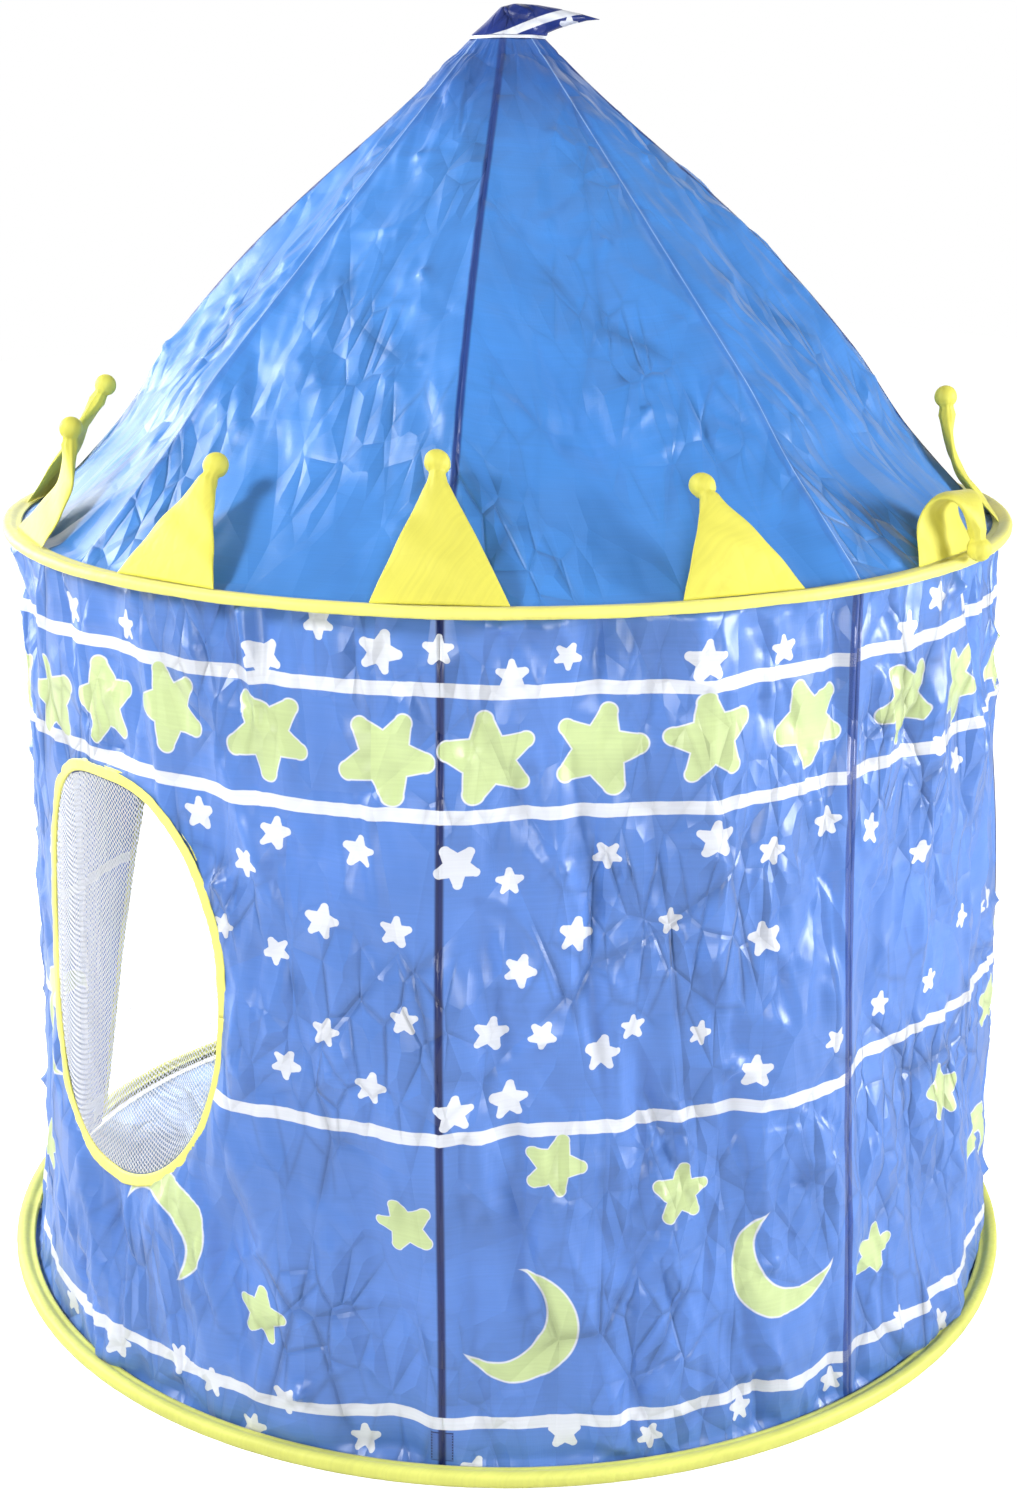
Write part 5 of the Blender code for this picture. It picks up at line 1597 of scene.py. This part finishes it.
@dataclass
class Openings:
    """The bound doorway, the bound window and its net."""

    door_foot: float = 0.016
    net_pitch: float = 0.0027
    net_half_strand: float = 0.00040
    net_margin: float = 0.0010
    net_sway: float = 0.00004
    net_belly: float = 0.004

    def door_path(self, share: Array) -> tuple[Array, Array]:
        """Azimuth and height along the doorway's arch from its left foot to its right foot."""
        foot = math.sqrt(1.0 - self.door_foot / FORM.door_height)
        across = (1.0 - 2.0 * share) * foot
        height = FORM.door_height * (1.0 - across**2)
        return np.degrees(FORM.door_half_width * across / FORM.smooth_radius(height)), height

    def window_path(self, share: Array) -> tuple[Array, Array]:
        """Azimuth and height round the window's outline."""
        angle = 2.0 * math.pi * share
        reach = FORM.window_reach(np.cos(angle), np.sin(angle))
        height = FORM.window_height + FORM.window_half_height * np.sin(angle) / reach
        run = FORM.window_half_width * np.cos(angle) / reach
        return FORM.window_azimuth + np.degrees(run / FORM.smooth_radius(height)), height

    def strand(
        self, shape: bmesh.types.BMesh, radius: float, azimuth: float, level: float
    ) -> list[bmesh.types.BMVert]:
        """Three corners of a thread's section."""
        corners = []
        for across, out in ((-1.0, -0.6), (1.0, -0.6), (0.0, 1.0)):
            turned = azimuth + math.degrees(across * self.net_half_strand / radius)
            corners.append(shape.verts.new(place(radius + out * self.net_half_strand, turned, level)))
        return corners

    def net(self, wardrobe: Wardrobe) -> Piece:
        """Knitted net: upright threads that zigzag and touch their neighbours."""
        half_width = FORM.window_half_width - self.net_margin
        half_height = FORM.window_half_height - self.net_margin
        count = int(2.0 * half_width / self.net_pitch)
        draw = np.random.default_rng(71)
        mesh = bpy.data.meshes.new("window_mesh")
        with reshaped(mesh) as shape:
            for index in range(count):
                middle = (index + 0.5 - count / 2) * self.net_pitch
                ends = []
                for side in (-1.0, 1.0):
                    power = float(FORM.window_power(np.float64(middle), np.float64(side)))
                    left = max(0.0, 1.0 - abs(middle / half_width) ** power)
                    ends.append(FORM.window_height + side * half_height * left ** (1.0 / power))
                cells = max(2, int((ends[1] - ends[0]) / self.net_pitch))
                ring = None
                for step in range(cells + 1):
                    level = ends[0] + (ends[1] - ends[0]) * step / cells
                    lean = 1.0 if (step + index) % 2 else -1.0
                    run = middle + lean * (self.net_pitch / 2 - self.net_half_strand)
                    run += draw.normal() * self.net_sway
                    azimuth = FORM.window_azimuth + math.degrees(run / FORM.smooth_radius(level))
                    off = (level - FORM.window_height) / half_height
                    belly = self.net_belly * (1.0 - (middle / half_width) ** 2) * (1.0 - off**2)
                    radius = float(FORM.smooth_radius(level) - FORM.cloth / 2 - belly)
                    corners = self.strand(shape, radius, azimuth, level)
                    if ring is not None:
                        for a in range(3):
                            b = (a + 1) % 3
                            shape.faces.new((ring[a], ring[b], corners[b], corners[a]))
                    else:
                        shape.faces.new(corners[::-1])
                    ring = corners
                shape.faces.new(ring)
            bmesh.ops.recalc_face_normals(shape, faces=shape.faces)
        net = new_object(mesh)
        log.info("net: %d faces", len(mesh.polygons))
        return dress(net, wardrobe.net, TENT, ["window_net"])

    def make(self, wardrobe: Wardrobe) -> dict[str, Piece]:
        """Build and dress both tapes and the net."""
        door = EdgeTape("doorway_tape", "door_binding", FORM.door_distance, self.door_path, False, 420)
        window = EdgeTape("window_tape", "window_binding", FORM.window_distance, self.window_path, True, 300)
        return {
            "door": door.make(wardrobe.yellow_tape),
            "window": window.make(wardrobe.yellow_tape),
            "net": self.net(wardrobe),
        }


@dataclass
class CrownPoint:
    """One stuffed point of the crown, with a gathered neck and a ball."""

    number: int
    azimuth: float
    rise: float
    curl: float
    lean: float
    length_share: float
    base_width: float = 0.120
    full_length: float = 0.132
    edge_thickness: float = 0.003
    body_thickness: float = 0.009
    neck_radius: float = 0.0085
    ball_radius: float = 0.0114
    neck_share: float = 0.86
    neck_pinch: float = 0.80
    body_swell: float = 0.0012
    gather: float = 0.10
    gather_rings: float = 4.5
    dent: float = 0.22
    wrinkle: float = 0.0009
    sides: int = 28
    spine_steps: int = 60
    body_rings: int = 34
    ball_rings: int = 15
    seat_gap: float = 0.0025
    seam_width: float = 0.0065
    seam_lift: float = 0.0008
    eave_sides: int = 60

    @property
    def seam(self) -> Array:
        """Point on the stitch line that it folds about."""
        radius = FORM.wall_top_radius + self.seat_gap + self.seam_width / 2
        radius = radius * math.cos(math.pi / self.eave_sides)
        height = FORM.eave_height + FORM.cloth + 1.5 * FORM.gap + self.seam_lift + FORM.gap
        height = height + self.edge_thickness / 2
        return place(radius, self.azimuth, height)

    def spine(self) -> tuple[Array, Array]:
        """Points and headings of its middle line, +X along the seam, -Y out, +Z up."""
        length = self.full_length * self.length_share
        share = np.arange(self.spine_steps + 1) / self.spine_steps
        angle = np.radians(self.rise - self.curl * ease((share - 0.2) / 0.6))
        sway = math.radians(self.lean)
        aside, ahead = np.full_like(angle, math.sin(sway)), math.cos(sway)
        heading = np.stack((aside, ahead * np.cos(angle), ahead * np.sin(angle)), -1)
        steps = heading * (length / self.spine_steps)
        points = np.concatenate((np.zeros((1, 3)), np.cumsum(steps, axis=0)[:-1]))
        return points, heading

    def rings(self) -> tuple[Array, ...]:
        """Centres, across and out directions, half widths and half depths of its sections."""
        points, heading = self.spine()
        body = np.linspace(0.0, self.neck_share, self.body_rings)
        index = body * self.spine_steps
        centre, ahead = (
            np.stack([np.interp(index, np.arange(len(row)), row[:, axis]) for axis in range(3)], -1)
            for row in (points, heading)
        )
        narrowing = body / self.neck_share
        width = self.base_width / 2 + (self.neck_radius - self.base_width / 2) * narrowing
        width = width + self.body_swell * np.sin(math.pi * narrowing)
        depth = self.edge_thickness / 2 + (self.neck_radius - self.edge_thickness / 2) * narrowing**3
        stuffed = self.body_thickness / 2 * np.sqrt(np.sin(math.pi * np.clip(narrowing, 0.0, 1.0)))
        depth = np.maximum(depth, stuffed)
        ball_share = np.sin(np.linspace(math.radians(-52.0), math.radians(88.0), self.ball_rings))
        radius = self.ball_radius * np.sqrt(1.0 - ball_share**2)
        ball = points[-1] + heading[-1] * (self.ball_radius * ball_share)[:, None]
        neck = points[-1] - heading[-1] * (self.ball_radius * 0.98)
        ring_centre = np.concatenate((centre, neck[None, :], ball))
        ring_ahead = np.concatenate((ahead, np.repeat(heading[-1][None, :], self.ball_rings + 1, 0)))
        ring_width = np.concatenate((width, [self.neck_radius * self.neck_pinch], radius))
        ring_depth = np.concatenate((depth, [self.neck_radius * self.neck_pinch], radius))
        across = np.zeros_like(ring_ahead)
        across[:, 0] = 1.0
        out = np.cross(across, ring_ahead)
        out /= np.linalg.norm(out, axis=1)[:, None]
        return ring_centre, across, out, ring_width, ring_depth

    def build(self) -> Piece:
        """Build the point as one closed skin."""
        centre, across, out, width, depth = self.rings()
        count = len(centre)
        draw = np.random.default_rng(300 + self.number)
        phase = draw.random(4) * 2.0 * math.pi

        def surface(round_share: Array, up: Array) -> Array:
            """Skin round each section, with its gathers, dents and wrinkles."""
            row = np.rint(up * (count - 1)).astype(int)
            angle = 2.0 * math.pi * round_share
            body = np.clip(row / self.body_rings, 0.0, 1.0)
            gather = np.exp(-(((row - self.body_rings) / self.gather_rings) ** 2))
            ripple = 1.0 + gather * self.gather * np.sin(9.0 * angle + phase[0])
            dent = 1.0 + self.dent * (1.0 - body) * np.sin(2.0 * angle + phase[1] + 5.0 * body)
            half_width = width[row] * ripple
            half_depth = depth[row] * ripple * np.where(row < self.body_rings, dent, 1.0)
            wrinkle = self.wrinkle * np.sin(5.0 * body * 3.0 + 3.0 * np.cos(angle) + phase[2])
            offset = half_depth * np.sin(angle) + wrinkle * np.sin(math.pi * body)
            aside = across[row] * (half_width * np.cos(angle))[:, None]
            return centre[row] + aside + out[row] * offset[:, None]

        mesh = grid_mesh(f"crown_flag_{self.number}", self.sides, count - 1, surface, closed=True)
        turn = Matrix.Translation(Vector(self.seam)) @ Matrix.Rotation(math.radians(self.azimuth), 4, "Z")
        with reshaped(mesh) as shape:
            rim = [edge for edge in shape.edges if edge.is_boundary]
            bmesh.ops.holes_fill(shape, edges=rim, sides=0)
            bmesh.ops.recalc_face_normals(shape, faces=shape.faces)
            bmesh.ops.transform(shape, matrix=turn, verts=shape.verts)
        mesh.shade_smooth()
        return new_object(mesh)

    def make(self, wardrobe: Wardrobe) -> Piece:
        """Build and dress the point."""
        body, node = f"crown_{self.number}", f"crown_point_{self.number}"
        flag = dress(self.build(), wardrobe.yellow, body, [node])
        return flag


# Azimuth, rise of its root from level, curl towards the roof, sideways lean, share of its length
CROWN_POINTS = (
    (15.0, 58.0, 6.0, -4.0, 0.97),
    (45.0, 58.0, 0.0, 0.0, 1.06),
    (75.0, 50.0, -35.0, 6.0, 0.90),
    (105.0, 60.0, 8.0, 3.0, 0.87),
    (135.0, 55.0, 0.0, -5.0, 1.00),
    (165.0, 67.0, 22.0, -7.0, 0.80),
    (195.0, 70.0, -190.0, 3.0, 0.98),
    (225.0, 48.0, -35.0, 0.0, 1.02),
    (255.0, 59.0, 6.0, 4.0, 0.95),
    (285.0, 56.0, 0.0, -3.0, 1.00),
    (315.0, 62.0, 10.0, 5.0, 0.95),
    (345.0, 56.0, 0.0, 3.0, 1.00),
)


@dataclass
class ApexCap:
    """Crumpled cloth cap gathered over the apex and flopped to one side."""

    azimuth: float = 231.5
    radius: float = 0.037
    stripe_height: float = 1.2915
    stripe_slope: float = 0.29
    stripe_arch: float = 0.004
    star_right: float = 0.062
    star_height: float = 1.3005
    star_size: float = 0.010
    hem_print: float = 0.635
    stripe_print: float = 0.745
    stripe_stretch: float = 1.5
    hem_width: float = 0.0030
    seat_clearance: float = 0.0014
    sides: int = 96
    rows: int = 60
    thickness: float = 0.0006
    outline: tuple[tuple[float, ...], ...] = (
        (-0.0386, -0.0024, 0.0386, -0.0024, 0.0386),
        (-0.0368, 0.0014, 0.0380, 0.0014, 0.0374),
        (-0.0280, 0.0096, 0.0388, 0.0036, 0.0350),
        (-0.0185, 0.0182, 0.0412, 0.0048, 0.0320),
        (-0.0070, 0.0280, 0.0450, 0.0060, 0.0290),
        (0.0080, 0.0310, 0.0500, 0.0072, 0.0255),
        (0.0300, 0.0296, 0.0580, 0.0090, 0.0215),
        (0.0520, 0.0262, 0.0680, 0.0118, 0.0150),
        (0.0740, 0.0215, 0.0800, 0.0152, 0.0075),
        (0.0920, 0.0166, 0.0922, 0.0163, 0.0006),
    )

    @property
    def seat(self) -> float:
        """Height of the hem on the full roof cloth."""
        share = 1.0 - self.radius / FORM.roof_foot_radius
        plain = FORM.cone_point(self.azimuth, share, 0.0)[2]
        return float(plain) + FORM.roof_fullness / math.cos(FORM.slope) + self.seat_clearance

    def surface(self, round_share: Array, up: Array) -> Array:
        """Skin from the hem over the flopped hood to the tip, between its upper and lower outline."""
        shares = np.array(self.outline)
        knots = np.linspace(0.0, 1.0, len(shares))
        high, high_rise, low, low_rise, width = (np.interp(up, knots, column) for column in shares.T)
        aside, across = aim(self.azimuth), aim(self.azimuth + 90.0)
        angle = 2.0 * math.pi * round_share
        fold = 1.0 + 0.04 * np.sin(7.0 * angle + 2.0) * np.exp(-(((up - 0.12) / 0.10) ** 2))
        fold += 0.06 * np.sin(3.0 * angle + 6.0 * up) * np.clip(up * 3.0, 0.0, 1.0) * (up < 0.9)
        along, rise = np.cos(angle) * fold, np.sin(angle) * fold
        points = aside[None, :] * ((low + high) / 2 + (low - high) / 2 * along)[:, None]
        points = points + across[None, :] * (width * rise)[:, None]
        points[:, 2] += self.seat + (low_rise + high_rise) / 2 + (low_rise - high_rise) / 2 * along
        return points

    def print_on(self, mesh: Mesh) -> None:
        """Lay one slanting stripe, a star and the pale hem over the cap."""
        points = positions(mesh)
        right = points @ aim(VIEW.azimuth + 90.0)
        stripe = points[:, 2] - self.stripe_height - self.stripe_slope * right
        stripe -= self.stripe_arch * np.sin(math.pi * np.clip(right / self.outline[-1][0], 0.0, 1.0))
        u = np.arctan2(points[:, 0], points[:, 1]) * self.radius
        hem = points[:, 2] < points[:, 2].min() + self.hem_width
        write_uv(mesh, u, np.where(hem, self.hem_print, self.stripe_print + self.stripe_stretch * stripe))
        write_value(mesh, "rod", np.ones(len(points)))
        x = (right - self.star_right) / self.star_size
        y = (points[:, 2] - self.star_height) / self.star_size
        star = np.stack((x, y, np.full_like(x, Motif.WHITE_STAR.value)), -1)
        write_motif(mesh, star[corner_vertices(mesh)])

    def make(self, wardrobe: Wardrobe) -> Piece:
        """Build and dress the cap."""
        mesh = grid_mesh(
            "apex_cloth_cap", self.sides, self.rows, self.surface, closed=True,
            layout=lambda across, up: (across * 0.23, 0.70 + up * 0.10),
        )
        self.print_on(mesh)
        cap = new_sheet(mesh, self.thickness)
        log.info("cap: %d faces", len(mesh.polygons))
        dress(cap, wardrobe.cap, TENT, ["apex_cap"])
        return cap


@dataclass
class Groundsheet:
    """The floor cloth, with a little relief where it doesn't lie flat."""

    rings: int = 110
    spokes: int = 360
    margin: float = 0.003
    lowest: float = 0.0010
    mean_lift: float = 0.0016
    ripple: float = 0.0012

    def surface(self, across: Array, up: Array) -> Array:
        """Disc with low ripples."""
        radius = (FORM.wall_base_radius - self.margin) * np.maximum(up, 0.002)
        azimuth = across * 360.0
        x, y = radius * np.sin(np.radians(azimuth)), radius * np.cos(np.radians(azimuth))
        ripple = wave(x + 0.6 * y, 81, (3.0, 7.0, 13.0)) * wave(y - 0.3 * x, 82, (2.0, 5.0, 11.0))
        lift = self.mean_lift + self.ripple * ripple * ease((1.0 - up) / 0.08)
        return place(radius, azimuth, np.maximum(lift, self.lowest))

    def make(self, wardrobe: Wardrobe) -> Piece:
        """Build and dress the floor."""
        mesh = grid_mesh("ground_cloth", self.spokes, self.rings, self.surface, closed=True)
        with reshaped(mesh) as shape:
            middle = [edge for edge in shape.edges if edge.is_boundary and edge.verts[0].co.xy.length < 0.01]
            bmesh.ops.holes_fill(shape, edges=middle, sides=0)
            bmesh.ops.reverse_faces(shape, faces=shape.faces)
        floor = dress(new_object(mesh), wardrobe.floor, TENT, ["floor"])
        return floor


@dataclass
class RodSleeves:
    """Cloth sleeves along the inside of wall and roof, and the pockets at the rods' feet."""

    radius: float = 0.0062
    thickness: float = 0.0007
    end_gap: float = 0.002
    sides: int = 18
    rows: int = 120

    def wall_line(self, azimuth: float, share: Array) -> Array:
        """Points on a wall rod's axis inside its sleeve."""
        rise = FORM.corner_height - FORM.rod_foot_height
        start = FORM.pocket_height + self.end_gap
        end = FORM.wall_rod_length - FORM.elbow_reach - self.end_gap
        run = start + (end - start) * share
        height = FORM.rod_foot_height + rise * run / FORM.wall_rod_length
        return place(FORM.rod_radius(height), np.full_like(height, azimuth), height)

    def roof_line(self, azimuth: float, share: Array) -> Array:
        """Points on a roof rod's axis inside its sleeve."""
        start = FORM.elbow_reach + self.end_gap
        end = FORM.roof_rod_length - FORM.hub_socket_reach - self.end_gap
        run = start + (end - start) * share
        up = (run + FORM.corner_run) / FORM.slant
        return FORM.cone_point(np.full_like(up, azimuth), up, FORM.roof_bow(up) - FORM.rod_axis_depth)

    def pocket_line(self, azimuth: float, share: Array) -> Array:
        """Points on a wall rod's axis inside its pocket."""
        height = FORM.rod_foot_height + (FORM.pocket_height - 0.0004) * share
        return place(FORM.rod_radius(height), np.full_like(height, azimuth), height)

    def tube(
        self, name: str, line: Callable[[float, Array], Array], azimuth: float, rows: int
    ) -> Piece:
        """A loose tube of cloth round a line of points."""
        side = aim(azimuth + 90.0)

        def surface(round_share: Array, up: Array) -> Array:
            """Skin of a slightly slack tube."""
            points = line(azimuth, up)
            ahead = line(azimuth, up + 0.001) - line(azimuth, up - 0.001)
            ahead /= np.linalg.norm(ahead, axis=1)[:, None]
            out = np.cross(side[None, :], ahead)
            angle = 2.0 * math.pi * round_share
            slack = 1.0 + 0.02 * np.sin(3.0 * angle + 40.0 * up)
            reach = (self.radius - 0.0002) * slack
            points = points + side[None, :] * (reach * np.cos(angle))[:, None]
            return points - out * (reach * np.sin(angle))[:, None]

        return new_sheet(grid_mesh(name, self.sides, rows, surface, closed=True), self.thickness)

    def make(self, wardrobe: Wardrobe) -> None:
        """Build and dress all sleeves and pockets."""
        for number in range(1, 5):
            azimuth = 90.0 * number - 45.0
            for kind, rod, line, rows in (
                ("wall_sleeve", "wall_rod", self.wall_line, self.rows),
                ("roof_sleeve", "roof_rod", self.roof_line, self.rows),
                ("rod_pocket", "wall_rod", self.pocket_line, self.rows // 6),
            ):
                tube = self.tube(f"{kind}_cloth_{number}", line, azimuth, rows)
                dress(tube, wardrobe.webbing, TENT, [f"{kind}_{number}"])
                ends = line(azimuth, np.array((0.0, 1.0)))
                length = float(np.linalg.norm(ends[1] - ends[0]))
        log.info("sleeves and pockets: 12")


class Skeleton:
    """Rods, elbows, hub and hoops, which keep the frame's own shapes."""

    def __init__(self, nodes: dict[str, Piece]) -> None:
        """Keep the frame's nodes."""
        self.nodes = nodes

    def make(self, wardrobe: Wardrobe) -> None:
        """Give each node its finish."""
        finishes = {"wall_rod": wardrobe.rod, "roof_rod": wardrobe.rod, "elbow": wardrobe.moulding}
        for kind, material in finishes.items():
            for number in range(1, 5):
                self.dress(f"{kind}_{number}", material)
        self.dress("apex_hub", wardrobe.moulding)
        for hoop in ("eave_hoop", "base_hoop"):
            self.dress(hoop, wardrobe.wire)
        log.info("skeleton dressed")

    def dress(self, name: str, material: Material) -> None:
        """Assign one material to a node."""
        node = self.nodes[name]
        node.data.materials.clear()
        node.data.materials.append(material)


@dataclass
class Studio:
    """Pale floor, soft lights and a white surround."""

    key_energy: float = 86.0
    fill_energy: float = 20.0
    world_strength: float = 0.15
    floor_grey: float = 0.60
    floor_size: float = 9.0
    floor_drop: float = 0.0005
    floor_glow: float = 0.95
    floor_glow_hidden: float = 0.05
    target_height: float = 0.62

    @property
    def lamps(self) -> tuple[tuple[str, float, float, float, float, float], ...]:
        """Each lamp's name, azimuth from the camera, distance, height, size and energy."""
        key, fill = self.key_energy, self.fill_energy
        return (
            ("key_lamp", -58.0, 3.0, 2.3, 0.7, key),
            ("left_panel", -114.0, 2.6, 1.4, 1.6, key),
            ("right_lamp", 76.0, 2.6, 1.1, 0.8, key * 0.8),
            ("front_lamp", 8.0, 2.6, 1.2, 0.9, fill * 1.5),
            ("top_lamp", 0.0, 0.4, 3.4, 2.0, fill * 0.4),
            ("back_lamp", 180.0, 2.6, 1.6, 2.0, fill),
            ("doorway_lamp", -VIEW.azimuth, 1.7, 0.8, 0.9, fill * 0.5),
        )

    def area(
        self, name: str, azimuth: float, distance: float, height: float, size: float, energy: float
    ) -> None:
        """A soft square lamp that looks at the tent's middle, its azimuth counted from the camera's."""
        data = bpy.data.lights.new(name, "AREA")
        data.shape = "SQUARE"
        data.size = size
        data.energy = energy
        lamp = bpy.data.objects.new(name, data)
        bpy.context.scene.collection.objects.link(lamp)
        lamp.location = Vector(place(distance, VIEW.azimuth + azimuth, height))
        towards = Vector((0.0, 0.0, self.target_height)) - lamp.location
        lamp.rotation_euler = towards.to_track_quat("-Z", "Y").to_euler()

    def make(self) -> None:
        """Set up floor, lamps and surround."""
        floor = new_object(flat_grid("studio_floor", 8, 8, self.floor_size))
        graph = Graph("studio_white")
        seen = graph.node("LightPath", {}, "Is Camera Ray")
        graph.set(
            Base_Color=(self.floor_grey, self.floor_grey, self.floor_grey, 1.0), Roughness=0.9,
            Emission_Color=(1.0, 1.0, 1.0, 1.0),
            Emission_Strength=seen.plus(self.floor_glow, self.floor_glow_hidden),
        )
        floor.data.materials.append(graph.material)
        floor.location.z = -self.floor_drop
        for lamp in self.lamps:
            self.area(*lamp)
        world = bpy.data.worlds.new("studio_world")
        world.use_nodes = True
        surround = world.node_tree.nodes["Background"]
        surround.inputs["Color"].default_value = (1.0, 1.0, 1.0, 1.0)
        seen = world.node_tree.nodes.new("ShaderNodeLightPath")
        level = world.node_tree.nodes.new("ShaderNodeMapRange")
        level.inputs["To Min"].default_value = self.world_strength
        level.inputs["To Max"].default_value = 1.0
        world.node_tree.links.new(seen.outputs["Is Camera Ray"], level.inputs["Value"])
        world.node_tree.links.new(level.outputs["Result"], surround.inputs["Strength"])
        bpy.context.scene.world = world
        bpy.context.scene.view_settings.view_transform = "Standard"


# Seam allowance in a wall's height
WALL_ALLOWANCE = 0.012


def declare_sheets(
    walls: dict[str, Piece]
) -> None:
    """Work out the flat area that each wall panel was cut to; the areas are not used."""
    height = FORM.eave_height + WALL_ALLOWANCE
    quarter = math.radians(90.0) * FORM.wall_base_radius
    door_area = 4.0 / 3.0 * FORM.door_half_width * FORM.door_height
    window_area = math.pi * FORM.window_half_width * FORM.window_half_height
    for name, panel in walls.items():
        width = quarter / 2 if "back" in name else quarter
        area = width * height
        if name == "wall_front":
            area -= door_area
        if name == "wall_window":
            area -= window_area


def main() -> None:
    """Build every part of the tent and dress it."""
    logging.basicConfig(level=logging.INFO, format="%(name)s: %(message)s")
    VIEW.make_camera()
    wardrobe = Wardrobe()
    walls = WallPanels().make(wardrobe, WallPrint())
    gores = Roof().make(wardrobe)
    RingTape(
        "eave_tape", "eave_binding", "yellow_cloth", "eave_hoop", FORM.eave_height, 0.5055, 0.525, 0.0045,
        FORM.cloth + 1.5 * FORM.gap + 0.0008,
    ).make(wardrobe.yellow_tape)
    RingTape(
        "base_tape_ring", "base_binding", "base_tape", "base_hoop", 0.0073, 0.5425, 0.5624, 0.0065, 0.0024,
        standing=True, seed=41,
    ).make(wardrobe.base_tape)
    openings = Openings().make(wardrobe)
    for number, values in enumerate(CROWN_POINTS, start=1):
        CrownPoint(number, *values).make(wardrobe)
    ApexCap().make(wardrobe)
    Groundsheet().make(wardrobe)
    RodSleeves().make(wardrobe)
    Skeleton(frame["nodes"]).make(wardrobe)
    declare_sheets(walls)
    Studio().make()
    bpy.context.view_layer.update()


if __name__ == "__main__":
    main()
